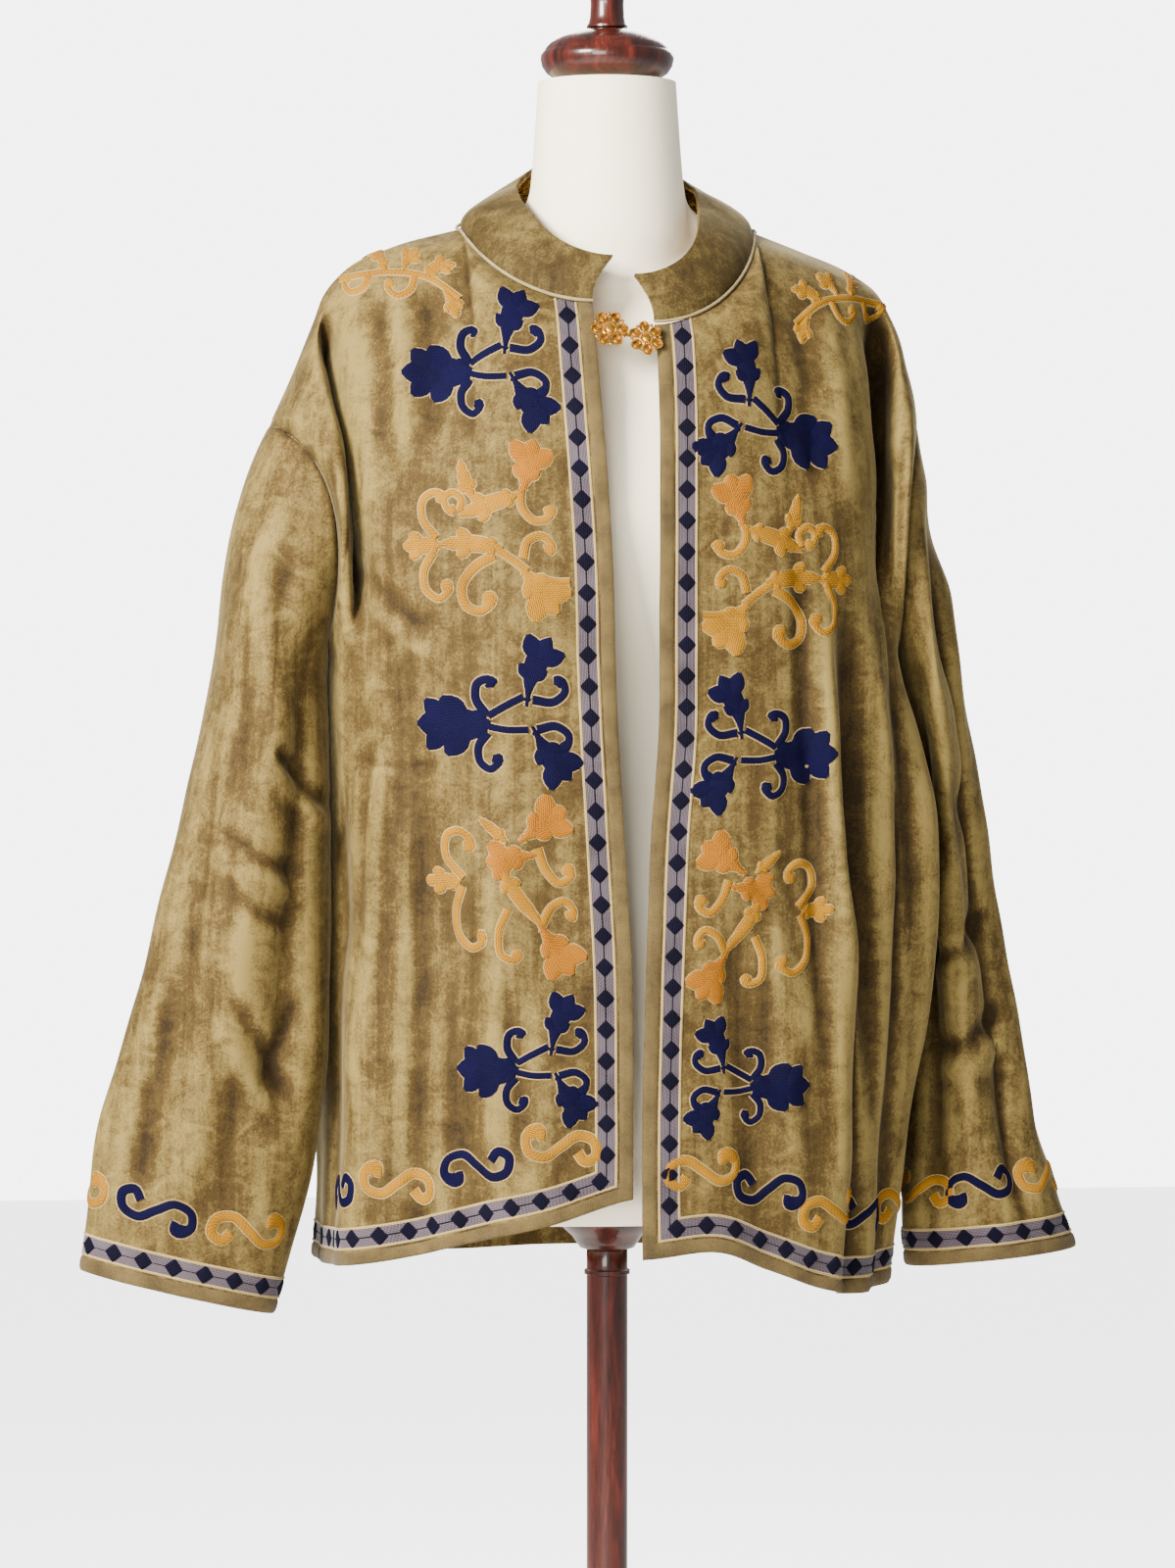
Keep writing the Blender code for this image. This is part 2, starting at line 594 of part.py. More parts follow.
def body_panels():
    """The fronts, the back and the sleeves as grids with their outward normals."""
    back_left = panel_grid("left", False)[:, ::-1]
    back_right = mirrored(panel_grid("right", False)[:, ::-1])
    back = np.concatenate([back_left, back_right[:, 1:]], axis=1)
    panels = {
        "front_left": {"grid": panel_grid("left", True), "closed": False, "seams": ("top", "last")},
        "front_right": {"grid": mirrored(panel_grid("right", True)), "closed": False, "seams": ("top", "first")},
        "back": {"grid": back, "closed": False, "seams": ("top", "first", "last")},
        "sleeve_left": {"grid": sleeve_grid("left"), "closed": True, "seams": ("top",)},
        "sleeve_right": {"grid": mirrored(sleeve_grid("right")), "closed": True, "seams": ("top",)},
    }
    for panel in panels.values():
        panel["normals"] = grid_normals(panel["grid"], panel["closed"])
        middle = panel["grid"].reshape(-1, 3).mean(axis=0) * (1 if panel["closed"] else 0)
        away = (panel["grid"] - middle)[:, :, :2]
        if (away * panel["normals"][:, :, :2]).sum() < 0:
            panel["normals"] = -panel["normals"]
    share_seam_normals(panels)
    return panels


def make_panels(panels):
    """The five velvet panels, a hair apart at their seams."""
    for name, panel in panels.items():
        outer = panel["grid"]
        inner = outer - panel["normals"] * CLOTH
        outer = pull_back(outer, panel["seams"], SEAM_GAP)
        inner = pull_back(inner, panel["seams"], SEAM_GAP)
        wall(name, outer, inner, panel["closed"], "velvet")


def make_collar():
    """The stand collar, a little above the neck seam, and the facing on its inside."""
    outer = collar_grid() + np.array([0, 0, COLLAR_LIFT])
    normals = grid_normals(outer, False)
    if (normals[:, :, 1] * (outer[:, :, 1] - ARM_Y)).sum() < 0:
        normals = -normals
    inner = outer - normals * COLLAR_CLOTH
    wall("collar", outer, inner, False, "velvet")
    facing_outer = inner - normals * TOUCH_GAP
    facing_inner = facing_outer - normals * FACING_CLOTH
    wall("collar_facing", facing_outer, facing_inner, False, "facing")


def turned(name, profile, base_z, colour):
    """A solid of revolution round Z from radius and height pairs that start and end on the axis."""
    points, faces, rings = [], [], []
    for radius, height in profile:
        if radius == 0:
            rings.append([len(points)])
            points.append((0, 0, base_z + height))
            continue
        rings.append(list(range(len(points), len(points) + TURNED_STEPS)))
        for step in range(TURNED_STEPS):
            angle = 2 * math.pi * step / TURNED_STEPS
            points.append((radius * math.cos(angle), radius * math.sin(angle), base_z + height))
    for low, high in zip(rings, rings[1:]):
        for step in range(TURNED_STEPS):
            after = (step + 1) % TURNED_STEPS
            if len(low) == 1:
                faces.append([low[0], high[after], high[step]])
            elif len(high) == 1:
                faces.append([low[step], low[after], high[0]])
            else:
                faces.append([low[step], low[after], high[after], high[step]])
    return add_mesh(name, points, faces, colour)


def form_ring(angle, half_width, front, back, neck):
    """Points of a ring of the dress form: a rounded body ring that flows into the round neck."""
    c, s = np.cos(angle), np.sin(angle)
    depth = np.where(s > 0, back, front)
    body = (np.abs(c / half_width) ** FORM_SQUARENESS + np.abs(s / depth) ** FORM_SQUARENESS) ** (-1 / FORM_SQUARENESS)
    radius = (body**FORM_BLEND + neck**FORM_BLEND) ** (1 / FORM_BLEND)
    return radius * c, radius * s


def make_form():
    """The dress form's body and neck as one closed solid."""
    points, faces = [], []
    angle = 2 * math.pi * np.arange(FORM_COLUMNS) / FORM_COLUMNS
    for z, half_width, front, back, neck in FORM_RINGS:
        xs, ys = form_ring(angle, half_width, front, back, neck)
        points += [(x, y, z) for x, y in zip(xs, ys)]
    for r in range(len(FORM_RINGS) - 1):
        for c in range(FORM_COLUMNS):
            low, high = r * FORM_COLUMNS, (r + 1) * FORM_COLUMNS
            after = (c + 1) % FORM_COLUMNS
            faces.append([low + c, low + after, high + after, high + c])
    faces.append(list(reversed(range(FORM_COLUMNS))))
    faces.append([(len(FORM_RINGS) - 1) * FORM_COLUMNS + c for c in range(FORM_COLUMNS)])
    add_mesh("form_torso", points, faces, "form_jersey")


def make_stand():
    """The turned pieces above and below the form, from the floor up."""
    form_foot, neck_top = FORM_RINGS[0][0], FORM_RINGS[-1][0]
    turned("neck_cap", CAP_PROFILE, neck_top, "dark_wood")
    turned("finial", FINIAL_PROFILE, neck_top, "dark_wood")
    turned("stand_base", BASE_PROFILE, 0, "dark_wood")
    boss_foot = BASE_PROFILE[-1][1] + TOUCH_GAP
    turned("stand_boss", BOSS_PROFILE, boss_foot, "dark_wood")
    socket_foot = form_foot - TOUCH_GAP - SOCKET_PROFILE[-1][1]
    turned("form_socket", SOCKET_PROFILE, socket_foot, "dark_wood")
    pole_foot = boss_foot + BOSS_PROFILE[-1][1] + TOUCH_GAP
    length = socket_foot - TOUCH_GAP - pole_foot
    profile = ((0.0, 0.0), (POLE_RADIUS, 0.0), (POLE_RADIUS, length), (0.0, length))
    turned("stand_pole", profile, pole_foot, "dark_wood")


def flower_plate(name):
    """A metal flower seen from the front, as a plain lobed plate."""
    centre_x, centre_z, back_y, petal_radius, tilt = CLASP[name]
    steps = CLASP_PETALS * CLASP_STEPS_A_PETAL
    points, faces = [], []
    for layer in range(2):
        for step in range(steps):
            angle = 2 * math.pi * step / steps
            lobe = abs(math.cos(CLASP_PETALS * angle / 2 + tilt))
            radius = petal_radius * (CLASP_WAIST + (1 - CLASP_WAIST) * lobe)
            x = centre_x + radius * math.cos(angle)
            rise = radius * math.sin(angle)
            points.append((x, back_y + CLASP_SLOPE * rise - layer * CLASP_PLATE, centre_z + rise))
    faces.append(list(range(steps)))
    faces.append([steps + i for i in reversed(range(steps))])
    for step in range(steps):
        after = (step + 1) % steps
        faces.append([after, step, steps + step, steps + after])
    return add_mesh(name, points, faces, "gilt")


def make_hook():
    """The flat hook behind the two flower plates, which joins them."""
    points = []
    for x, y, z in HOOK_ENDS:
        for side_y, side_z in ((-1, -1), (1, -1), (1, 1), (-1, 1)):
            points.append((x, y + side_y * HOOK_HALF_DEPTH, z + side_z * HOOK_HALF_HEIGHT))
    faces = [[0, 1, 2, 3], [7, 6, 5, 4]]
    faces += [[i, i + 4, (i + 1) % 4 + 4, (i + 1) % 4] for i in range(4)]
    add_mesh("clasp_hook", points, faces, "gilt")


def step_in(grid, row, column, down, across, width):
    """A grid point moved a width inwards along the grid's own rows and columns."""
    point = grid[row, column]
    moved = point.copy()
    for step_row, step_column in ((down, 0), (0, across)):
        if step_row or step_column:
            way = grid[row + step_row, column + step_column] - point
            moved = moved + way / np.linalg.norm(way) * width
    return moved


def binding(name, panel, path):
    """A narrow strip on the cloth along a path of grid places: row, column, step down, step across."""
    grid, normals, closed = panel["grid"], panel["normals"], panel["closed"]
    edge = np.array([grid[row, column] for row, column, _, _ in path])
    inside = np.array([step_in(grid, row, column, down, across, BINDING_WIDTH) for row, column, down, across in path])
    out = np.array([normals[row, column] for row, column, _, _ in path])
    strip = np.stack([edge, inside])
    if not closed:
        strip = pull_back(strip, ("first", "last"), SEAM_GAP)
    lower = strip + out * BINDING_STAND_OFF
    upper = strip + out * (BINDING_STAND_OFF + BINDING_CLOTH)
    wall(name, upper, lower, closed, "piping")


def make_bindings(panels):
    """The bound front edges and hem in three strips, and the bound cuffs."""
    for name in ("right", "left"):
        panel = panels["front_" + name]
        rows, columns = panel["grid"].shape[:2]
        edge, away = (columns - 1, -1) if name == "right" else (0, 1)
        path = [(row, edge, 0, away) for row in range(1, rows - 1)]
        path.append((rows - 1, edge, -1, away))
        path += [(rows - 1, edge + away * c, -1, 0) for c in range(1, columns)]
        binding("binding_" + name, panel, path)
        cuff = panels["sleeve_" + name]
        rows, columns = cuff["grid"].shape[:2]
        binding("cuff_binding_" + name, cuff, [(rows - 1, column, -1, 0) for column in range(columns)])
    panel = panels["back"]
    rows, columns = panel["grid"].shape[:2]
    binding("binding_back", panel, [(rows - 1, column, -1, 0) for column in range(columns)])


def make_piping(panels):
    """A thin roll on the seam between the collar and the neck, held off both cloths."""
    collar = collar_grid()
    line = collar[0]
    normals = grid_normals(collar, False)[0]
    if (normals[:, 1] * (line[:, 1] - ARM_Y)).sum() < 0:
        normals = -normals
    names = ("front_right", "front_left", "back")
    tops = np.concatenate([panels[name]["grid"][0] for name in names])
    top_normals = np.concatenate([panels[name]["normals"][0] for name in names])
    nearest = [np.argmin(np.linalg.norm(tops - point, axis=1)) for point in line]
    out = normals + top_normals[nearest]
    out = out / np.linalg.norm(out, axis=1, keepdims=True)
    middle = line + out * (PIPING_RADIUS + PIPING_STAND_OFF)
    along = np.gradient(middle, axis=0)
    along = along / np.linalg.norm(along, axis=1, keepdims=True)
    across = np.cross(along, out)
    points, faces = [], []
    for m, o, a in zip(middle, out, across):
        for step in range(PIPING_STEPS):
            turn = 2 * math.pi * step / PIPING_STEPS
            points.append(m + PIPING_RADIUS * (math.cos(turn) * o + math.sin(turn) * a))
    for r in range(len(middle) - 1):
        for c in range(PIPING_STEPS):
            after = (c + 1) % PIPING_STEPS
            low, high = r * PIPING_STEPS, (r + 1) * PIPING_STEPS
            faces.append([low + c, low + after, high + after, high + c])
    faces.append(list(reversed(range(PIPING_STEPS))))
    faces.append([(len(middle) - 1) * PIPING_STEPS + c for c in range(PIPING_STEPS)])
    add_mesh("neck_piping", points, faces, "piping")


def main():
    for obj in list(bpy.data.objects):
        bpy.data.objects.remove(obj)
    panels = body_panels()
    make_panels(panels)
    make_bindings(panels)
    make_piping(panels)
    make_collar()
    make_form()
    make_stand()
    flower_plate("clasp_right")
    flower_plate("clasp_left")
    make_hook()


main()
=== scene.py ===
"""The looks of an open velvet jacket with chain-stitch embroidery, worn by a limbless dress form.

The cloth panels follow the same named sizes as the solids they stand for, on a finer grid with creases.
Metres, +Z up, the jacket's front faces -Y, the wearer's right is at -X.
"""

import json
import math

import bpy
import numpy as np
from mathutils import Matrix, kdtree
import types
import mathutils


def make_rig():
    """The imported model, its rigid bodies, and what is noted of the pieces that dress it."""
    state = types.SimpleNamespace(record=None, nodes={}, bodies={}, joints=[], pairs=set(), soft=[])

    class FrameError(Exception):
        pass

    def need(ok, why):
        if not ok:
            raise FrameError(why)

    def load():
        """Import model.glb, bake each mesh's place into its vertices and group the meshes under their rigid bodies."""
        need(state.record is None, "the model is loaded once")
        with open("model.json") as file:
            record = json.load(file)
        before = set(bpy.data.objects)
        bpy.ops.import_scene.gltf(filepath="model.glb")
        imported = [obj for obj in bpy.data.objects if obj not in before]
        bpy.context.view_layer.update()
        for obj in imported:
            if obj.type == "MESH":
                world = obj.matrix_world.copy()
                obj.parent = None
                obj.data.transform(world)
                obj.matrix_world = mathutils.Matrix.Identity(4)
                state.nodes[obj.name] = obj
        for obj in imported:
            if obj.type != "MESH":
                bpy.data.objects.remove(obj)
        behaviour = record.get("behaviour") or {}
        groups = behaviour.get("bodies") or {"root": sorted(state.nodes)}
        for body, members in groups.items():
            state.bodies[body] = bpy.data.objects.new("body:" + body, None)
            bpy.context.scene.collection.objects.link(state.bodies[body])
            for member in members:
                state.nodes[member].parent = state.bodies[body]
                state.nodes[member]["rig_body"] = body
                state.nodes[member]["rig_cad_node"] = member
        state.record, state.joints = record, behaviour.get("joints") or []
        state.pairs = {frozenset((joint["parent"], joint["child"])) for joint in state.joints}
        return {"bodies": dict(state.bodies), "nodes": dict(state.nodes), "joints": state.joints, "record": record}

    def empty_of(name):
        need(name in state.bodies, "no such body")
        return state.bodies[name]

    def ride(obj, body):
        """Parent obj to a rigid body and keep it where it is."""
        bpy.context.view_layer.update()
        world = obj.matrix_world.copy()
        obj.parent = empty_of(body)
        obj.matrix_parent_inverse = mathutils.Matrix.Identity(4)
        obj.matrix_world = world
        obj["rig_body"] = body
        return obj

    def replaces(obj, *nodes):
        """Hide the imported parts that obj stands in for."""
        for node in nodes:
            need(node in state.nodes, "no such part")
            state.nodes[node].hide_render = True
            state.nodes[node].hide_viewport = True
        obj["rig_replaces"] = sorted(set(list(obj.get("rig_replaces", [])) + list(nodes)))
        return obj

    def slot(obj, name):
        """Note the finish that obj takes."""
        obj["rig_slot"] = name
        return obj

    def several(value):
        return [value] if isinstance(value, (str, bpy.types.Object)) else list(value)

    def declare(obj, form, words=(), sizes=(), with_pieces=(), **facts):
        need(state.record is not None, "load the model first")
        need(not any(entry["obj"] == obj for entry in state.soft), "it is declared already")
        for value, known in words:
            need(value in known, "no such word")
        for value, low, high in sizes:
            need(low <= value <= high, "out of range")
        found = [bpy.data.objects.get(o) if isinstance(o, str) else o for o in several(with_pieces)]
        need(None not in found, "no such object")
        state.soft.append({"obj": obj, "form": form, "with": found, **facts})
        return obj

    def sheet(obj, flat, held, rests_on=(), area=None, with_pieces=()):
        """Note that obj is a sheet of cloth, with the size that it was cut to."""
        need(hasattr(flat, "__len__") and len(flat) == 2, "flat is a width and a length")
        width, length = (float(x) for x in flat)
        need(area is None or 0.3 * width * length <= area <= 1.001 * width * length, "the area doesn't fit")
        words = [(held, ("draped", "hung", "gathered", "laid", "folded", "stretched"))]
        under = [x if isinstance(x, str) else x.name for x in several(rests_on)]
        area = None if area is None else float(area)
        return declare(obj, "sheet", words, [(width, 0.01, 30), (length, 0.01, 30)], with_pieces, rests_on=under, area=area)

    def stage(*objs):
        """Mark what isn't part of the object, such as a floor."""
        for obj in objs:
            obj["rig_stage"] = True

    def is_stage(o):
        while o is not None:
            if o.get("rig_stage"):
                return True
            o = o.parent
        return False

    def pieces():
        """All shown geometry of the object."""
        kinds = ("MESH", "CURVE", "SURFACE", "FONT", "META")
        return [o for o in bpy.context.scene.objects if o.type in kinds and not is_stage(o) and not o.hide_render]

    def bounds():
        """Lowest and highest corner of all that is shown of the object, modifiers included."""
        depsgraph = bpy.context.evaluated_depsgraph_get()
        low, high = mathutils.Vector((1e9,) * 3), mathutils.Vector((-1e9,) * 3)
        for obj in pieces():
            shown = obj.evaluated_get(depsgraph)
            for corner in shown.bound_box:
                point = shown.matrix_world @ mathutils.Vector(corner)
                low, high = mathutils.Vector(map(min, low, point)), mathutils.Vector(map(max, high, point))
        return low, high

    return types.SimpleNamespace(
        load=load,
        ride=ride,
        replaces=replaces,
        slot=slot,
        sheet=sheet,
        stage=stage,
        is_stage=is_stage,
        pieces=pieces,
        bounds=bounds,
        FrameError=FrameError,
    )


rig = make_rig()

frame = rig.load()
cad_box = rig.bounds()

# Camera, worked out from the photograph
VIEW_MIDDLE = (-0.0135, 0.0, 0.9815)
VIEW_AZIMUTH = -7.0
VIEW_ELEVATION = 1.1
VIEW_DISTANCE = 3.5
VIEW_HEIGHT = 1.072
SENSOR_HEIGHT = 36

# Studio: the floor, how bright the surroundings are as light and as seen, and the lights with their name,
# place, size, power and colour
FLOOR_SIZE = 14.0
FLOOR_GLOW = 3.2
WORLD_COLOUR = (0.95, 0.95, 0.97, 1)
WORLD_LIGHT = 0.60
WORLD_SEEN = 6.0
LIGHT_AIM = (0, 0, 1.0)
LIGHTS = (
    ("key_light", (-1.4, -1.35, 1.95), 0.7, 190, (1.0, 0.96, 0.88)),
    ("fill_light", (-1.2, -3.1, 1.3), 1.3, 88, (1.0, 0.98, 0.95)),
    ("back_light", (0.6, 2.4, 2.6), 1.5, 95, (1.0, 0.98, 0.95)),
)

# Driving dimensions, as in the solids
CLOTH = 0.0016
COLLAR_CLOTH = 0.0022
FACING_CLOTH = 0.0010
SEAM_GAP = 0.0002
CLOTH_SHARP = math.radians(55)
SHOULDER_TOP = 1.360
UNDERARM_Z = 1.072
NECK_HALF_WIDTH = 0.100
NECK_CURVE = 1.3
BACK_NECK_Y = 0.066
BACK_NECK_RISE = 0.014
ARM_Y = 0.006
COLLAR_HEIGHT = 0.046
CUTS = {
    "right": {
        "sign": -1, "neck_drop": 0.056, "neck_y": -0.0860,
        "edge_x": 0.0208, "end_lean": 0.015, "end_height": 0.036,
    },
    "left": {
        "sign": 1, "neck_drop": 0.070, "neck_y": -0.0925,
        "edge_x": 0.0200, "end_lean": 0.012, "end_height": 0.036,
    },
}
BACK_HEM = 0.650

# Hem heights of the fronts: share from the front edge to the side, height
FRONT_HEM = {
    "right": (
        (0.0, 0.711), (0.13, 0.695), (0.27, 0.685), (0.47, 0.6725),
        (0.62, 0.665), (0.80, 0.660), (1.0, 0.657),
    ),
    "left": (
        (0.0, 0.671), (0.14, 0.675), (0.28, 0.662), (0.47, 0.646),
        (0.62, 0.640), (0.80, 0.642), (1.0, 0.648),
    ),
}

# Fine grid of the panels
NECK_COLUMNS = 32
SHOULDER_COLUMNS = 64
UPPER_ROWS = 70
LOWER_ROWS = 112
SLEEVE_ROWS = 128
COLUMN_SHARE_NECK = 0.30
SQUARENESS = 2.4
# How the rows crowd at the shoulder, the columns that follow the armhole seam, the columns over which the
# folds above the underarm die towards it, the part of the way down over which they grow, and the columns
# over which the hem of the back rises to the side
ROW_CROWDING = 1.25
ARMHOLE_COLUMNS = (0.60, 1.0)
UPPER_FOLD_COLUMNS = (0.80, 1.0)
UPPER_FOLD_GROWS = (0.1, 0.5)
HEM_COLUMNS = (0.2, 1.0)

# The shoulder seam from the neck point out over the shoulder: share of its length, x, z
SHOULDER_SEAM = {
    "right": (
        (0.00, 0.100, 1.3600),
        (0.24, 0.147, 1.3470),
        (0.42, 0.179, 1.3310),
        (0.51, 0.192, 1.3165),
        (0.62, 0.201, 1.2960),
        (0.76, 0.212, 1.2700),
        (0.90, 0.223, 1.2430),
        (1.00, 0.230, 1.2250),
    ),
    "left": (
        (0.00, 0.100, 1.3600),
        (0.19, 0.134, 1.3470),
        (0.375, 0.1675, 1.3330),
        (0.49, 0.1865, 1.3200),
        (0.61, 0.1985, 1.3000),
        (0.79, 0.2070, 1.2680),
        (1.00, 0.2130, 1.2300),
    ),
}

# How far the cloth has come forward on its way down from the shoulder: share of the drop, share of the
# depth
FORWARD = (
    (0.0, 0.0), (0.03, 0.17), (0.08, 0.34), (0.16, 0.50),
    (0.30, 0.71), (0.50, 0.88), (0.75, 0.98), (1.0, 1.0),
)

# Rings of the body below the underarm: height, x of the right and the left front edge, half width right
# and left, front depth, back depth
BODY_RINGS = (
    (1.072, 0.0120, 0.0175, 0.1925, 0.1970, 0.142, 0.128),
    (1.020, 0.0100, 0.0170, 0.1920, 0.2010, 0.143, 0.129),
    (0.950, 0.0058, 0.0120, 0.1920, 0.2030, 0.144, 0.131),
    (0.870, 0.0015, 0.0085, 0.1930, 0.2010, 0.146, 0.134),
    (0.760, 0.0005, 0.0055, 0.1960, 0.1930, 0.149, 0.138),
    (0.640, 0.0020, 0.0055, 0.1990, 0.1800, 0.152, 0.142),
)

# Soft folds of the body: side, angle from centre front at the top and at the hem, start height, depth,
# half width, and the share of the depth that is left at the hem
BODY_FOLDS = (
    ("right", 20, 17, 1.16, 0.0035, 6.0, 1.2),
    ("right", 31, 29, 1.02, -0.0060, 6.0, 1.2),
    ("right", 44, 43, 1.10, -0.0080, 6.5, 1.2),
    ("right", 58, 60, 1.12, 0.0075, 8.0, 1.1),
    ("right", 74, 77, 1.05, -0.0045, 6.0, 1.0),
    ("left", 20, 24, 1.10, -0.0040, 7.0, 1.2),
    ("left", 34, 46, 1.16, 0.0075, 5.0, 0.8),
    ("left", 42, 54, 1.12, -0.0090, 5.0, 0.8),
    ("left", 50, 62, 1.18, 0.0085, 4.5, 0.6),
    ("left", 57, 69, 1.12, -0.0060, 4.5, 0.6),
    ("left", 66, 76, 1.12, 0.0270, 8.0, 0.5),
    ("right", 104, 102, 1.04, 0.0045, 7.0, 1.1),
    ("right", 121, 119, 1.10, -0.0080, 7.0, 1.1),
    ("right", 138, 136, 1.14, 0.0090, 8.0, 1.1),
    ("right", 155, 156, 1.12, -0.0070, 7.5, 1.1),
    ("left", 175, 176, 1.16, 0.0080, 9.0, 1.1),
    ("left", 156, 158, 1.08, -0.0065, 7.0, 1.1),
    ("left", 140, 137, 1.14, 0.0090, 8.0, 1.1),
    ("left", 122, 120, 1.10, -0.0085, 7.0, 1.1),
    ("left", 104, 103, 1.04, 0.0045, 7.0, 1.1),
)

# A body fold grows and changes to its depth at the hem between these shares of its way down
FOLD_GROWS = (0, 0.40)
FOLD_CHANGES = (0.45, 1.0)
# A left fold beyond this angle lies on the middle of the back and counts for both sides
BACK_MIDDLE = 170

# The crease where the front folds back to the sleeve: column share, depth, half width in columns; where
# it opens and closes on the way down to the underarm, and how deep it is on the back
ARM_CREASE = {"right": (0.682, 0.042, 0.045), "left": (0.636, 0.034, 0.050)}
ARM_CREASE_OPENS = (0.01, 0.18)
ARM_CREASE_CLOSES = (0.70, 1.0)
ARM_CREASE_BACK = 0.8
ARMHOLE_HOLLOW = {"right": 0.020, "left": 0.010}

# Rings of the sleeves: outer x, outer z, inner x, inner z, half depth, y of the middle
SLEEVE_RINGS = {
    "right": (
        (0.230, 1.225, 0.1940, 1.072, 0.066, 0.006),
        (0.249, 1.180, 0.1960, 1.046, 0.070, 0.002),
        (0.262, 1.120, 0.1950, 1.010, 0.072, -0.004),
        (0.271, 1.050, 0.1945, 0.968, 0.069, -0.012),
        (0.288, 0.980, 0.1945, 0.920, 0.061, -0.018),
        (0.302, 0.920, 0.1955, 0.870, 0.054, -0.022),
        (0.316, 0.861, 0.1965, 0.818, 0.048, -0.025),
        (0.332, 0.807, 0.1985, 0.768, 0.043, -0.027),
        (0.346, 0.757, 0.2040, 0.721, 0.039, -0.027),
        (0.355, 0.700, 0.2180, 0.668, 0.035, -0.026),
        (0.361, 0.657, 0.2310, 0.626, 0.033, -0.025),
    ),
    "left": (
        (0.213, 1.230, 0.1980, 1.072, 0.068, 0.006),
        (0.223, 1.176, 0.2030, 1.044, 0.073, 0.012),
        (0.232, 1.116, 0.2080, 1.006, 0.073, 0.020),
        (0.244, 1.048, 0.2115, 0.964, 0.070, 0.027),
        (0.256, 0.988, 0.2130, 0.918, 0.067, 0.030),
        (0.267, 0.925, 0.2140, 0.870, 0.063, 0.030),
        (0.278, 0.868, 0.2130, 0.820, 0.058, 0.028),
        (0.288, 0.810, 0.2110, 0.770, 0.053, 0.022),
        (0.298, 0.747, 0.2070, 0.722, 0.048, 0.012),
        (0.311, 0.700, 0.2040, 0.684, 0.043, -0.002),
        (0.325, 0.662, 0.2050, 0.650, 0.035, -0.006),
    ),
}

# Soft folds of the sleeves: angle round the tube (0 outer, 90 front, 180 body side), start and end share,
# depth, half width; and the shares of the sleeve over which a fold grows and dies, and the hollow of its
# armhole dies
SLEEVE_FOLDS = {
    "right": (
        (55, 0.10, 0.95, -0.0060, 13),
        (88, 0.05, 0.80, 0.0050, 13),
        (122, 0.08, 0.90, -0.0070, 12),
        (236, 0.08, 0.92, -0.0065, 13),
        (275, 0.12, 1.05, 0.0055, 14),
        (312, 0.05, 0.85, -0.0055, 12),
    ),
    "left": (
        (30, 0.10, 0.90, 0.0050, 11),
        (62, 0.04, 1.02, -0.0085, 11),
        (96, 0.06, 0.90, 0.0060, 13),
        (132, 0.10, 0.95, -0.0080, 12),
        (232, 0.08, 0.92, -0.0070, 13),
        (272, 0.12, 1.05, 0.0060, 14),
        (310, 0.05, 0.85, -0.0055, 12),
    ),
}

SLEEVE_FOLD_GROWS = 0.22
SLEEVE_FOLD_DIES = 0.2
HOLLOW_DIES = 0.16

COLLAR_ROWS = 24
COLLAR_HALF_COLUMNS = 90
COLLAR_LEAN_SIDE = 0.62
COLLAR_LEAN_FRONT = 0.90
COLLAR_LEAN_BACK = 0.80
# The collar's side view bends in and out again; its rise is never less than a share of its height
COLLAR_BEND = 1.3
COLLAR_HOLLOW = 0.15
COLLAR_LEAST_RISE = 0.6
COLLAR_LIFT = 0.0010
FACING_GAP = 0.0003

# Dress form, ring by ring: height, half width, front depth, back depth, radius of the neck that grows out
# of it
FORM_RINGS = (
    (0.688, 0.146, 0.094, 0.098, 0.0),
    (0.694, 0.156, 0.102, 0.106, 0.0),
    (0.740, 0.163, 0.108, 0.112, 0.0),
    (0.800, 0.165, 0.109, 0.116, 0.0),
    (0.880, 0.151, 0.101, 0.105, 0.0),
    (0.950, 0.130, 0.092, 0.088, 0.0),
    (1.005, 0.121, 0.089, 0.081, 0.0),
    (1.060, 0.127, 0.096, 0.085, 0.0),
    (1.115, 0.139, 0.111, 0.093, 0.0),
    (1.165, 0.147, 0.117, 0.099, 0.0),
    (1.205, 0.154, 0.108, 0.101, 0.0),
    (1.245, 0.163, 0.090, 0.099, 0.0),
    (1.275, 0.170, 0.076, 0.092, 0.0),
    (1.297, 0.172, 0.060, 0.074, 0.0),
    (1.314, 0.1700, 0.048, 0.058, 0.052),
    (1.330, 0.1605, 0.036, 0.044, 0.054),
    (1.341, 0.1370, 0.025, 0.032, 0.055),
    (1.349, 0.1170, 0.017, 0.022, 0.0555),
    (1.355, 0.1000, 0.012, 0.015, 0.0555),
    (1.360, 0.0840, 0.010, 0.012, 0.0550),
    (1.366, 0.0700, 0.010, 0.010, 0.0545),
    (1.376, 0.0500, 0.010, 0.010, 0.0535),
    (1.397, 0.0200, 0.010, 0.010, 0.0515),
    (1.430, 0.0100, 0.010, 0.010, 0.0490),
    (1.460, 0.0100, 0.010, 0.010, 0.0470),
)
FORM_COLUMNS = 120
FORM_ROWS = 150
FORM_SQUARENESS = 2.15
FORM_BLEND = 7
FORM_SHARP = math.radians(60)
# The cover lies this much inside the solid below the neck, and the difference dies between two heights
FORM_SLIMMER = 0.0020
FORM_SLIMMER_END = (1.36, 1.40)


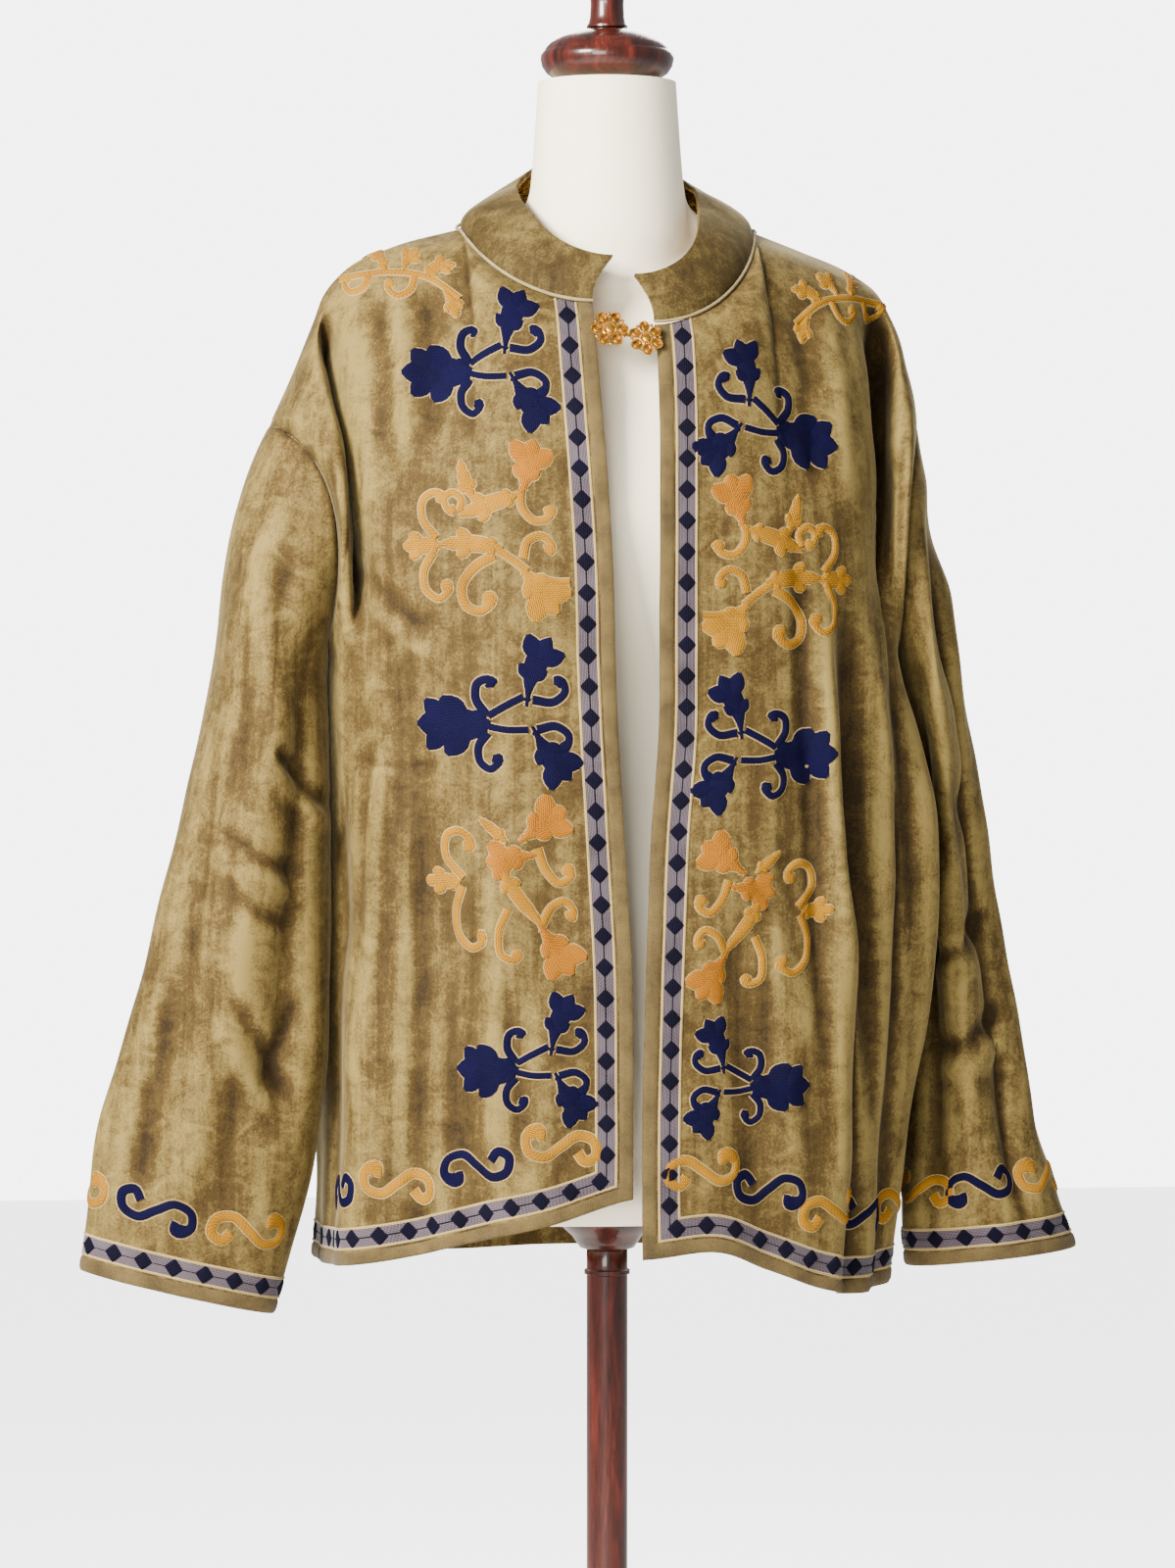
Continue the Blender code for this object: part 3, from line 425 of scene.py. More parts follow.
def through(rows, column, at):
    """A column of a table read from a smooth curve through its rows, whose first column runs one way."""
    table = np.array(rows, float)
    if table[0, 0] > table[-1, 0]:
        table = table[::-1]
    stations, values = table[:, 0], table[:, column]
    slopes = np.gradient(values, stations)
    at = np.clip(np.asarray(at, float), stations[0], stations[-1])
    i = np.clip(np.searchsorted(stations, at, side="right") - 1, 0, len(stations) - 2)
    width = stations[i + 1] - stations[i]
    f = (at - stations[i]) / width
    a = 2 * f**3 - 3 * f**2 + 1
    b = f**3 - 2 * f**2 + f
    c = f**3 - f**2
    return a * values[i] + b * width * slopes[i] + (1 - a) * values[i + 1] + c * width * slopes[i + 1]


def ease(x, low, high):
    """0 below low, 1 above high, smooth between."""
    f = np.clip((np.asarray(x, float) - low) / (high - low), 0, 1)
    return f * f * (3 - 2 * f)


def bump(x, middle, half_width):
    """A soft hill of height 1 round the middle."""
    return np.exp(-(((np.asarray(x, float) - middle) / half_width) ** 2))


def unit(vectors):
    return vectors / np.linalg.norm(vectors, axis=-1, keepdims=True)


def column_shares():
    """Shares across a panel, from its centre edge to the armhole, with one on the neck point."""
    neck = np.linspace(0, COLUMN_SHARE_NECK, NECK_COLUMNS)
    shoulder = np.linspace(COLUMN_SHARE_NECK, 1, SHOULDER_COLUMNS + 1)[1:]
    return np.concatenate([neck, shoulder])


def armhole_ring(side, turn):
    """Points of the armhole seam; turn 0 is its outer end, 0.5 the underarm, the front lies before 0.5."""
    outer_x, outer_z, inner_x, inner_z, depth, middle_y = SLEEVE_RINGS[side][0]
    angle = 2 * math.pi * np.asarray(turn, float)
    x = (outer_x + inner_x) / 2 + (outer_x - inner_x) / 2 * np.cos(angle)
    z = (outer_z + inner_z) / 2 + (outer_z - inner_z) / 2 * np.cos(angle)
    hollow = ARMHOLE_HOLLOW[side] * np.sin(angle) ** 2
    return np.stack([x - hollow, middle_y - depth * np.sin(angle), z + hollow], axis=-1)


def neck_line(side, angle, front):
    """Points of the neckline on the +X side, from the neck point at angle 0 to the centre at a quarter."""
    cut = CUTS[side]
    sine, cosine = np.sin(angle), np.cos(angle)
    if front:
        x = NECK_HALF_WIDTH + (cut["edge_x"] - NECK_HALF_WIDTH) * (1 - cosine)
        y = ARM_Y + (cut["neck_y"] - ARM_Y) * sine
        z = SHOULDER_TOP - cut["neck_drop"] * sine**NECK_CURVE
    else:
        x = NECK_HALF_WIDTH * cosine
        y = ARM_Y + (BACK_NECK_Y - ARM_Y) * sine
        z = SHOULDER_TOP + BACK_NECK_RISE * sine
    return np.stack([x, y, z], axis=-1)


def top_edge(side, shares, front):
    """The neckline and shoulder seam of a panel, on the +X side."""
    neck = shares <= COLUMN_SHARE_NECK
    turn = (1 - shares[neck] / COLUMN_SHARE_NECK) * math.pi / 2
    along = (shares[~neck] - COLUMN_SHARE_NECK) / (1 - COLUMN_SHARE_NECK)
    seam_x, seam_z = (through(SHOULDER_SEAM[side], column, along) for column in (1, 2))
    seam = np.stack([seam_x, np.full(len(along), ARM_Y), seam_z], axis=1)
    return np.concatenate([neck_line(side, turn, front), seam])


def ring_points(side, shares, z, front):
    """Points of the body's ring at a height, on the +X side, before folds."""
    gap = through(BODY_RINGS, 1 if side == "right" else 2, z) if front else 0.0
    half_width = through(BODY_RINGS, 3 if side == "right" else 4, z)
    depth = through(BODY_RINGS, 5 if front else 6, z)
    angle = shares * math.pi / 2
    x = gap + (half_width - gap) * np.sin(angle) ** (2 / SQUARENESS)
    y = ARM_Y + (-depth if front else depth) * np.cos(angle).clip(0) ** (2 / SQUARENESS)
    return x, y


def fold_depth(side, degrees, z, hem_z):
    """How far the folds push the cloth outwards, at an angle from centre front."""
    total = np.zeros(np.broadcast(degrees, z).shape)
    for fold_side, top, hem, start, depth, half_width, left in BODY_FOLDS:
        if fold_side != side and not (fold_side == "left" and top > BACK_MIDDLE):
            continue
        down = np.clip((start - z) / (start - hem_z), 0, 1)
        grow = ease(down, *FOLD_GROWS) * (1 + (left - 1) * ease(down, *FOLD_CHANGES))
        total = total + depth * grow * bump(degrees, top + (hem - top) * down, half_width)
    return total


def panel_grid(side, front):
    """A half panel's outer face as rows from its top edge down to the hem, on the +X side."""
    shares = column_shares()
    top = top_edge(side, shares, front)
    under_x, under_y = ring_points(side, shares, UNDERARM_Z, front)
    seam_turn = np.linspace(0, 0.5, UPPER_ROWS + 1)
    seam = armhole_ring(side, seam_turn if front else 1 - seam_turn)
    hold = ease(shares, *ARMHOLE_COLUMNS)
    fold_hold = 1 - ease(shares, *UPPER_FOLD_COLUMNS)
    crease_column, crease_depth, crease_width = ARM_CREASE[side]
    crease = crease_depth * bump(shares, crease_column, crease_width)
    degrees = 90 * shares if front else 180 - 90 * shares
    away_x, away_y = np.sin(np.radians(degrees)), np.cos(np.radians(degrees))
    rows = []
    for k in range(UPPER_ROWS + 1):
        drop = (k / UPPER_ROWS) ** ROW_CROWDING
        x = top[:, 0] + (under_x - top[:, 0]) * ease(drop, 0, 1)
        y = top[:, 1] + (under_y - top[:, 1]) * through(FORWARD, 1, drop)
        z = top[:, 2] + (UNDERARM_Z - top[:, 2]) * drop
        row = np.stack([x, y, z], axis=1)
        row += hold[:, None] * (seam[k] - row[-1])
        inward = crease * ease(drop, *ARM_CREASE_OPENS) * (1 - ease(drop, *ARM_CREASE_CLOSES))
        row[:, 1] += inward if front else -inward * ARM_CREASE_BACK
        push = fold_depth(side, degrees, row[:, 2], BACK_HEM) * fold_hold * ease(drop, *UPPER_FOLD_GROWS)
        row[:, 0] += push * away_x
        row[:, 1] -= push * away_y
        rows.append(row)
    if front:
        hem = through(FRONT_HEM[side], 1, shares)
    else:
        hem = BACK_HEM + (FRONT_HEM[side][-1][1] - BACK_HEM) * ease(shares, *HEM_COLUMNS)
    for k in range(1, LOWER_ROWS + 1):
        z = UNDERARM_Z + (hem - UNDERARM_Z) * k / LOWER_ROWS
        x, y = ring_points(side, shares, z, front)
        push = fold_depth(side, degrees, z, BACK_HEM)
        rows.append(np.stack([x + push * away_x, y - push * away_y, z], axis=1))
    return np.array(rows)


def sleeve_grid(side):
    """A sleeve's outer face as rings from the armhole seam to the cuff, on the +X side."""
    table = np.array(SLEEVE_RINGS[side])
    rows = np.hstack([np.linspace(0, 1, len(table))[:, None], table])
    columns = 2 * UPPER_ROWS
    turn = np.arange(columns) / columns
    angle = 2 * math.pi * turn
    grid = [armhole_ring(side, turn)]
    for k in range(1, SLEEVE_ROWS + 1):
        share = k / SLEEVE_ROWS
        outer_x, outer_z, inner_x, inner_z, depth, middle_y = (through(rows, c, share) for c in range(1, 7))
        push = np.zeros(columns)
        for degrees, start, end, size, half_width in SLEEVE_FOLDS[side]:
            window = ease(share, start, start + SLEEVE_FOLD_GROWS)
            window = window * (1 - ease(share, end - SLEEVE_FOLD_DIES, end))
            away = (np.degrees(angle) - degrees + 180) % 360 - 180
            push += size * window * np.exp(-((away / half_width) ** 2))
        hollow = ARMHOLE_HOLLOW[side] * np.sin(angle) ** 2 * (1 - ease(share, 0, HOLLOW_DIES))
        x = (outer_x + inner_x) / 2 + ((outer_x - inner_x) / 2 + push) * np.cos(angle) - hollow
        z = (outer_z + inner_z) / 2 + (outer_z - inner_z) / 2 * np.cos(angle) + hollow
        y = middle_y - (depth + push) * np.sin(angle)
        grid.append(np.stack([x, y, z], axis=1))
    return np.array(grid)


def collar_column(side, turn, height):
    """The collar's outer face at one place from the front end (0) to the centre back (1), bottom first."""
    cut = CUTS[side]
    front = turn <= 0.5
    angle = abs(0.5 - turn) * math.pi
    base = neck_line(side, angle, front)
    end = math.sin(angle) ** 3 if front else 0
    top_x = base[0] * COLLAR_LEAN_SIDE * (1 - end) + (base[0] - cut["end_lean"]) * end
    top_y = ARM_Y + (base[1] - ARM_Y) * (COLLAR_LEAN_FRONT if front else COLLAR_LEAN_BACK)
    tall = height + (cut["end_height"] - COLLAR_HEIGHT) * end
    lean = np.array([top_x, top_y, base[2]]) - base
    rise = math.sqrt(max(tall**2 - lean @ lean, (COLLAR_LEAST_RISE * tall) ** 2))
    share = np.linspace(0, 1, COLLAR_ROWS + 1)[:, None]
    out = share**COLLAR_BEND - COLLAR_HOLLOW * np.sin(math.pi * share)
    return base + lean * out + np.array([0, 0, rise]) * share


def collar_grid(height):
    """The collar's outer face from the wearer's right end round the back to the left, bottom row first."""
    halves = []
    for side in ("right", "left"):
        turns = np.linspace(0, 1, COLLAR_HALF_COLUMNS + 1)
        half = np.array([collar_column(side, turn, height) for turn in turns]).transpose(1, 0, 2)
        half[:, :, 0] *= CUTS[side]["sign"]
        halves.append(half)
    return np.concatenate([halves[0], halves[1][:, ::-1][:, 1:]], axis=1)


def grid_normals(grid, closed):
    """Outward normals of a grid whose rows run down and whose columns run round."""
    if closed:
        across = np.roll(grid, -1, axis=1) - np.roll(grid, 1, axis=1)
    else:
        across = np.gradient(grid, axis=1)
    return unit(np.cross(np.gradient(grid, axis=0), across))


def mirrored(grid):
    """The grid on the -X side, with its columns turned round so that it still faces out."""
    return (grid * np.array([-1, 1, 1]))[:, ::-1]


def border(shape):
    """Rows and columns of the places on a grid's four edges."""
    rows, columns = shape[:2]
    mask = np.zeros((rows, columns), bool)
    mask[[0, -1]] = True
    mask[:, [0, -1]] = True
    return np.argwhere(mask)


def share_seam_normals(panels):
    """Panels that meet at a seam get one normal there, so that their walls meet without crossing."""
    total = {}
    for panel in panels.values():
        for row, column in border(panel["grid"].shape):
            key = tuple(np.round(panel["seam_grid"][row, column], 6))
            total[key] = total.get(key, 0) + panel["normals"][row, column]
    for panel in panels.values():
        for row, column in border(panel["grid"].shape):
            normal = total[tuple(np.round(panel["seam_grid"][row, column], 6))]
            panel["normals"][row, column] = normal / np.linalg.norm(normal)


def outward_normals(panel):
    normals = grid_normals(panel["grid"], panel["closed"])
    middle = panel["grid"].reshape(-1, 3).mean(axis=0) if panel["closed"] else np.array([0, 0, 1.0])
    away = panel["grid"] - middle
    away[:, :, 2] *= 0.2
    return -normals if (away * normals).sum() < 0 else normals


def pull_back(grid, edges, amount):
    """Moves the grid's named edges in from their seams."""
    moved = grid.copy()
    pairs = {"top": (0, 1, 0), "bottom": (-1, -2, 0), "first": (0, 1, 1), "last": (-1, -2, 1)}
    for edge in edges:
        outer, inner, axis = pairs[edge]
        a = grid.take(outer, axis=axis)
        step = unit(grid.take(inner, axis=axis) - a) * amount
        if axis == 0:
            moved[outer] += step
        else:
            moved[:, outer] += step
    return moved


def node(tree, kind, inputs=(), **settings):
    """A shader node with its settings, and its inputs given as values or as sockets to link."""
    made = tree.nodes.new(kind)
    for key, value in settings.items():
        setattr(made, key, value)
    for key, value in dict(inputs).items():
        if isinstance(value, bpy.types.NodeSocket):
            tree.links.new(value, made.inputs[key])
        else:
            made.inputs[key].default_value = value
    return made


def arithmetic(tree, operation, first, second=0.0, third=0.0):
    return node(tree, "ShaderNodeMath", {0: first, 1: second, 2: third}, operation=operation).outputs[0]


def noise(tree, vector, scale, detail=3.0, roughness=0.55, distortion=0.0):
    inputs = {"Vector": vector, "Scale": scale, "Detail": detail, "Roughness": roughness}
    return node(tree, "ShaderNodeTexNoise", {**inputs, "Distortion": distortion}).outputs[0]


def stretched(tree, vector, scale):
    return node(tree, "ShaderNodeMapping", {"Vector": vector, "Scale": scale}).outputs[0]


def new_group(name, inputs, outputs):
    """An effect with named inputs and outputs; gives the group and its input and output nodes."""
    group = bpy.data.node_groups.new(name, "ShaderNodeTree")
    for label, kind, value in inputs:
        socket = group.interface.new_socket(label, in_out="INPUT", socket_type=kind)
        if value is not None:
            socket.default_value = value
    for label, kind in outputs:
        group.interface.new_socket(label, in_out="OUTPUT", socket_type=kind)
    return group, group.nodes.new("NodeGroupInput"), group.nodes.new("NodeGroupOutput")


VECTOR, NUMBER = "NodeSocketVector", "NodeSocketFloat"

# Velvets: the material's name, and its colours where the pile lies dark, between and light; the painted fold shade
# moves the cloth along them too
VELVETS = {
    "velvet": ("olive_velvet", (0.020, 0.0115, 0.0028), (0.059, 0.0360, 0.0088), (0.185, 0.133, 0.039)),
    # The collar's copy of the velvet is darker all over: painted shade
    "velvet_fold": (
        "olive_velvet_collar", (0.018, 0.0105, 0.0026), (0.047, 0.0300, 0.0075), (0.150, 0.109, 0.033)
    ),
}
# Strips in plain weave: the material's name, its dark and its light colour
STRIPS = {
    "edge": ("edge_strip", (0.035, 0.022, 0.007), (0.130, 0.088, 0.028)),
    "piping": ("neck_roll", (0.15, 0.105, 0.045), (0.36, 0.27, 0.13)),
}
STRIP_THREAD = 0.0006
FACING_THREAD = 0.0005
# Threads: the material's name, its dark and its light colour, width of a row, length of a stitch, sheen
THREADS = {
    "navy": ("navy_thread", (0.0006, 0.0005, 0.0040), (0.0030, 0.0022, 0.026), 0.0012, 0.0026, 0.0),
    "gold": ("gold_thread", (0.10, 0.042, 0.003), (0.36, 0.165, 0.010), 0.0012, 0.0026, 0.0),
    "orange": ("orange_thread", (0.10, 0.034, 0.003), (0.34, 0.125, 0.008), 0.0012, 0.0026, 0.0),
    "pale": ("pale_thread", (0.16, 0.105, 0.035), (0.38, 0.27, 0.105), 0.0010, 0.0022, 0.3),
    "cream": ("cream_thread", (0.19, 0.125, 0.045), (0.44, 0.32, 0.135), 0.0011, 0.0022, 0.3),
    "lilac": ("lilac_thread", (0.022, 0.016, 0.020), (0.120, 0.098, 0.115), 0.0011, 0.0024, 0.3),
    "ink": ("dark_thread", (0.0006, 0.0005, 0.0015), (0.0040, 0.0032, 0.013), 0.0012, 0.0026, 0.0),
}


def brushed_pile_group():
    """Velvet pile: patches where it lies another way, long brush marks down the cloth, and single tufts."""
    amounts = [("Patches", NUMBER, 0.5), ("Streaks", NUMBER, 0.3), ("Tufts", NUMBER, 0.2)]
    inputs = [("Vector", VECTOR, None)] + amounts
    group, given, result = new_group("brushed_pile", inputs, [("Shade", NUMBER), ("Height", NUMBER)])
    vector = given.outputs["Vector"]
    broad = noise(group, stretched(group, vector, (1.0, 1.0, 0.62)), 16.0, 5.0, 0.62, 0.8)
    crushed = noise(group, stretched(group, vector, (0.75, 0.75, 1.0)), 75.0, 4.0, 0.6, 1.2)
    patches = arithmetic(group, "MULTIPLY_ADD", crushed, 0.45, arithmetic(group, "MULTIPLY", broad, 0.55))
    streaks = noise(group, stretched(group, vector, (1.0, 1.0, 0.055)), 130.0, 3.0, 0.6, 0.2)
    tufts = noise(group, vector, 620.0, 2.0, 0.7)
    shade = 0.0
    for label, part in (("Patches", patches), ("Streaks", streaks), ("Tufts", tufts)):
        part = arithmetic(group, "SUBTRACT", part, 0.5)
        shade = arithmetic(group, "MULTIPLY_ADD", part, given.outputs[label], shade)
    group.links.new(arithmetic(group, "ADD", shade, 0.5), result.inputs["Shade"])
    height = arithmetic(group, "MULTIPLY_ADD", streaks, 0.6, arithmetic(group, "MULTIPLY", tufts, 0.4))
    group.links.new(height, result.inputs["Height"])
    return group


def chain_stitch_group():
    """Rows of chain stitches on a piece's own UV; a row's width and a stitch's length are in metres."""
    inputs = [("Vector", VECTOR, None), ("Row", NUMBER, 0.0012), ("Stitch", NUMBER, 0.0026)]
    group, given, result = new_group("chain_stitch", inputs, [("Shade", NUMBER), ("Height", NUMBER)])
    parts = node(group, "ShaderNodeSeparateXYZ", {0: given.outputs["Vector"]})
    across = arithmetic(group, "DIVIDE", parts.outputs[0], given.outputs["Row"])
    along = arithmetic(group, "DIVIDE", parts.outputs[1], given.outputs["Stitch"])
    row_number = arithmetic(group, "FLOOR", across)
    place = arithmetic(group, "SUBTRACT", arithmetic(group, "SUBTRACT", across, row_number), 0.5)
    away = arithmetic(group, "MULTIPLY", arithmetic(group, "ABSOLUTE", place), 2.0)
    staggered = arithmetic(group, "MULTIPLY_ADD", row_number, 0.37, along)
    shifted = arithmetic(group, "MULTIPLY_ADD", away, -0.45, staggered)
    wave = arithmetic(group, "SINE", arithmetic(group, "MULTIPLY", shifted, math.pi))
    wave = arithmetic(group, "ABSOLUTE", wave)
    ridge = arithmetic(group, "SUBTRACT", 1.0, arithmetic(group, "POWER", away, 2.2))
    height = arithmetic(group, "MULTIPLY", ridge, arithmetic(group, "MULTIPLY_ADD", wave, 0.65, 0.35))
    strands = noise(group, stretched(group, given.outputs["Vector"], (1.0, 0.25, 1.0)), 3200.0, 2.0)
    # The colour follows the stitches' height: painted shade where the thread lies low between rows and loops, with
    # random strand tone
    shade = arithmetic(group, "MULTIPLY_ADD", arithmetic(group, "SUBTRACT", strands, 0.5), 0.5, height)
    group.links.new(shade, result.inputs["Shade"])
    group.links.new(height, result.inputs["Height"])
    return group


def weave_group():
    """A plain weave on a piece's own UV, with its threads a little uneven."""
    inputs = [("Vector", VECTOR, None), ("Thread", NUMBER, 0.0006)]
    group, given, result = new_group("plain_weave", inputs, [("Shade", NUMBER), ("Height", NUMBER)])
    parts = node(group, "ShaderNodeSeparateXYZ", {0: given.outputs["Vector"]})
    waves = []
    for axis in (0, 1):
        turns = arithmetic(group, "DIVIDE", parts.outputs[axis], given.outputs["Thread"])
        waves.append(arithmetic(group, "SINE", arithmetic(group, "MULTIPLY", turns, math.pi)))
    crossing = arithmetic(group, "MULTIPLY", waves[0], waves[1])
    uneven = noise(group, given.outputs["Vector"], 900.0, 2.0)
    # The colour follows the crossings: painted shade where the threads dip, with random unevenness
    shade = arithmetic(group, "MULTIPLY_ADD", crossing, 0.25, uneven)
    group.links.new(shade, result.inputs["Shade"])
    group.links.new(arithmetic(group, "MULTIPLY_ADD", crossing, 0.5, 0.5), result.inputs["Height"])
    return group


def new_material(name, base, values):
    """A material with constant values set on its shader's own sockets; gives it, its tree and its shader."""
    material = bpy.data.materials.new(name)
    material.use_nodes = True
    tree = material.node_tree
    shader = tree.nodes["Principled BSDF"]
    shader.inputs["Base Color"].default_value = (*base, 1)
    for socket, value in values.items():
        shader.inputs[socket].default_value = value
    return material, tree, shader


def object_place(tree):
    return node(tree, "ShaderNodeTexCoord").outputs["Object"]


def own_uv(tree):
    return node(tree, "ShaderNodeUVMap", uv_map="cloth").outputs[0]


def effect(tree, group, inputs):
    return node(tree, "ShaderNodeGroup", inputs, node_tree=group)


def ramp(tree, value, stops):
    """Colours at places along a value from 0 to 1."""
    made = node(tree, "ShaderNodeValToRGB", {0: value})
    points = made.color_ramp.elements
    while len(points) < len(stops):
        points.new(0.5)
    for point, (place, colour) in zip(points, stops):
        point.position = place
        point.color = (*colour, 1)
    return made.outputs[0]


def raise_surface(tree, shader, height, strength, distance):
    made = node(tree, "ShaderNodeBump", {"Height": height, "Strength": strength, "Distance": distance})
    tree.links.new(made.outputs[0], shader.inputs["Normal"])


def velvet(name, group, dark, middle, light):
    """Olive velvet with its pile brushed here and there the other way, painted shade in the cloth's valleys and a
    painted highlight on its ridges.
    """
    values = {"Roughness": 0.82, "Specular IOR Level": 0.15}
    values.update({"Sheen Weight": 0.32, "Sheen Roughness": 0.30, "Sheen Tint": (1.0, 0.84, 0.45, 1)})
    material, tree, shader = new_material(name, middle, values)
    pile = effect(tree, group, {"Vector": object_place(tree), "Patches": 1.7, "Streaks": 0.7, "Tufts": 0.7})
    # The fold attribute adds painted shade in valleys and the armhole seam and a painted highlight on ridges to the
    # colour
    fold = node(tree, "ShaderNodeAttribute", attribute_name="fold").outputs["Fac"]
    shade = arithmetic(tree, "MULTIPLY_ADD", fold, 0.30, pile.outputs["Shade"])
    colour = ramp(tree, shade, [(0.08, dark), (0.46, middle), (0.92, light)])
    tree.links.new(colour, shader.inputs["Base Color"])
    raise_surface(tree, shader, pile.outputs["Height"], 0.35, 0.0006)
    return material


def uneven_shade(tree, shade, scale, amount):
    """A shade made lighter and darker over the object's own place."""
    cloud = arithmetic(tree, "SUBTRACT", noise(tree, object_place(tree), scale), 0.5)
    return arithmetic(tree, "ADD", shade, arithmetic(tree, "MULTIPLY", cloud, amount))


def thread(name, group, dark, light, row, stitch, sheen):
    """Embroidery thread laid in rows of chain stitch."""
    values = {"Roughness": 0.7, "Sheen Weight": sheen, "Sheen Roughness": 0.3, "Specular IOR Level": 0.06}
    material, tree, shader = new_material(name, light, values)
    rows = effect(tree, group, {"Vector": own_uv(tree), "Row": row, "Stitch": stitch})
    # The rows' shade holds painted shade in the stitches' grooves; the cloud over it is random tone
    shade = uneven_shade(tree, rows.outputs["Shade"], 45.0, 0.9)
    tree.links.new(ramp(tree, shade, [(0.05, dark), (0.75, light)]), shader.inputs["Base Color"])
    raise_surface(tree, shader, rows.outputs["Height"], 0.8, 0.0005)
    return material


def woven_strip(name, group, dark, light):
    """A bias strip or tape in plain weave."""
    values = {"Roughness": 0.8, "Sheen Weight": 0.08, "Specular IOR Level": 0.2}
    material, tree, shader = new_material(name, light, values)
    weave = effect(tree, group, {"Vector": own_uv(tree), "Thread": STRIP_THREAD})
    # The weave's shade holds painted shade where its threads dip; the cloud over it is random tone
    shade = uneven_shade(tree, weave.outputs["Shade"], 60.0, 1.2)
    tree.links.new(ramp(tree, shade, [(0.1, dark), (0.9, light)]), shader.inputs["Base Color"])
    raise_surface(tree, shader, weave.outputs["Height"], 0.5, 0.0003)
    return material


def printed_facing(group):
    """The collar's inside: a small gold leaf print on dark brown cotton."""
    material, tree, shader = new_material("facing_print", (0.2, 0.1, 0.02), {"Roughness": 0.7})
    uv = own_uv(tree)
    weave = effect(tree, group, {"Vector": uv, "Thread": FACING_THREAD})
    bent = noise(tree, uv, 70.0, 2.0)
    place = arithmetic(tree, "MULTIPLY_ADD", bent, 0.35, 0.0)
    mixed = node(tree, "ShaderNodeVectorMath", {0: uv, 1: place}, operation="ADD").outputs[0]
    leaves = node(tree, "ShaderNodeTexVoronoi", {"Vector": mixed, "Scale": 95.0}, feature="SMOOTH_F1")
    colours = [(0.18, (0.62, 0.36, 0.05)), (0.34, (0.42, 0.20, 0.03)), (0.46, (0.09, 0.045, 0.012))]
    tree.links.new(ramp(tree, leaves.outputs["Distance"], colours), shader.inputs["Base Color"])
    raise_surface(tree, shader, weave.outputs["Height"], 0.4, 0.0002)
    return material


def form_jersey():
    """Cream jersey stretched over the form: fine ribs and a little soft unevenness."""
    values = {"Roughness": 0.85}
    values.update({"Sheen Weight": 0.3, "Sheen Roughness": 0.5, "Sheen Tint": (1.0, 0.90, 0.68, 1)})
    material, tree, shader = new_material("form_jersey", (0.96, 0.90, 0.77), values)
    place = object_place(tree)
    uneven = noise(tree, place, 7.0, 2.0)
    colours = [(0.3, (0.97, 0.87, 0.64)), (0.7, (0.99, 0.92, 0.74))]
    tree.links.new(ramp(tree, uneven, colours), shader.inputs["Base Color"])
    ribs = {"Vector": place, "Scale": 420.0, "Distortion": 0.6}
    wales = node(tree, "ShaderNodeTexWave", ribs, bands_direction="X")
    raise_surface(tree, shader, wales.outputs[1], 0.15, 0.0002)
    return material


def polished_wood():
    """Dark red-brown wood under clear polish, its grain running up the turned pieces."""
    values = {"Roughness": 0.32, "Coat Weight": 0.45, "Coat Roughness": 0.05, "Specular IOR Level": 0.3}
    material, tree, shader = new_material("polished_wood", (0.10, 0.012, 0.006), values)
    place = stretched(tree, object_place(tree), (1.0, 1.0, 0.10))
    rings = noise(tree, place, 70.0, 5.0, 0.6, 1.2)
    pores = noise(tree, place, 620.0, 2.0, 0.6)
    shade = arithmetic(tree, "MULTIPLY_ADD", arithmetic(tree, "SUBTRACT", pores, 0.5), 0.35, rings)
    colours = [(0.32, (0.010, 0.002, 0.001)), (0.52, (0.040, 0.005, 0.002)), (0.72, (0.095, 0.012, 0.005))]
    tree.links.new(ramp(tree, shade, colours), shader.inputs["Base Color"])
    rough = arithmetic(tree, "MULTIPLY_ADD", pores, 0.18, 0.22)
    tree.links.new(rough, shader.inputs["Roughness"])
    raise_surface(tree, shader, pores, 0.06, 0.0003)
    return material


def antique_gilt():
    """Old gilt metal: bright gilt and brown tarnish in small patches spread at random."""
    values = {"Metallic": 1.0, "Roughness": 0.32}
    material, tree, shader = new_material("antique_gilt", (0.62, 0.33, 0.05), values)
    place = object_place(tree)
    tarnish = noise(tree, place, 520.0, 4.0, 0.65)
    colours = [(0.34, (0.16, 0.075, 0.012)), (0.52, (0.52, 0.27, 0.04)), (0.70, (0.82, 0.50, 0.12))]
    tree.links.new(ramp(tree, tarnish, colours), shader.inputs["Base Color"])
    tree.links.new(arithmetic(tree, "MULTIPLY_ADD", tarnish, -0.35, 0.58), shader.inputs["Roughness"])
    raise_surface(tree, shader, noise(tree, place, 1600.0, 2.0), 0.35, 0.0003)
    return material


def pale_floor():
    """A matt floor that is seen as bright as its surroundings, without lighting anything itself."""
    material, tree, shader = new_material("pale_floor", (0.82, 0.81, 0.79), {"Roughness": 0.9})
    soft = noise(tree, object_place(tree), 1.5, 2.0)
    colours = [(0.2, (0.80, 0.79, 0.77)), (0.8, (0.84, 0.83, 0.81))]
    tree.links.new(ramp(tree, soft, colours), shader.inputs["Base Color"])
    seen = node(tree, "ShaderNodeLightPath").outputs["Is Camera Ray"]
    shader.inputs["Emission Strength"].default_value = FLOOR_GLOW
    tree.links.new(seen, shader.inputs["Emission Color"])
    return material


def make_materials():
    """Every material by its short name."""
    pile, stitches, weave = brushed_pile_group(), chain_stitch_group(), weave_group()
    made = {key: velvet(name, pile, *colours) for key, (name, *colours) in VELVETS.items()}
    made["facing"] = printed_facing(weave)
    made.update({key: woven_strip(name, weave, *colours) for key, (name, *colours) in STRIPS.items()})
    made.update({key: thread(name, stitches, *values) for key, (name, *values) in THREADS.items()})
    made["jersey"] = form_jersey()
    made["wood"] = polished_wood()
    made["gilt"] = antique_gilt()
    return made


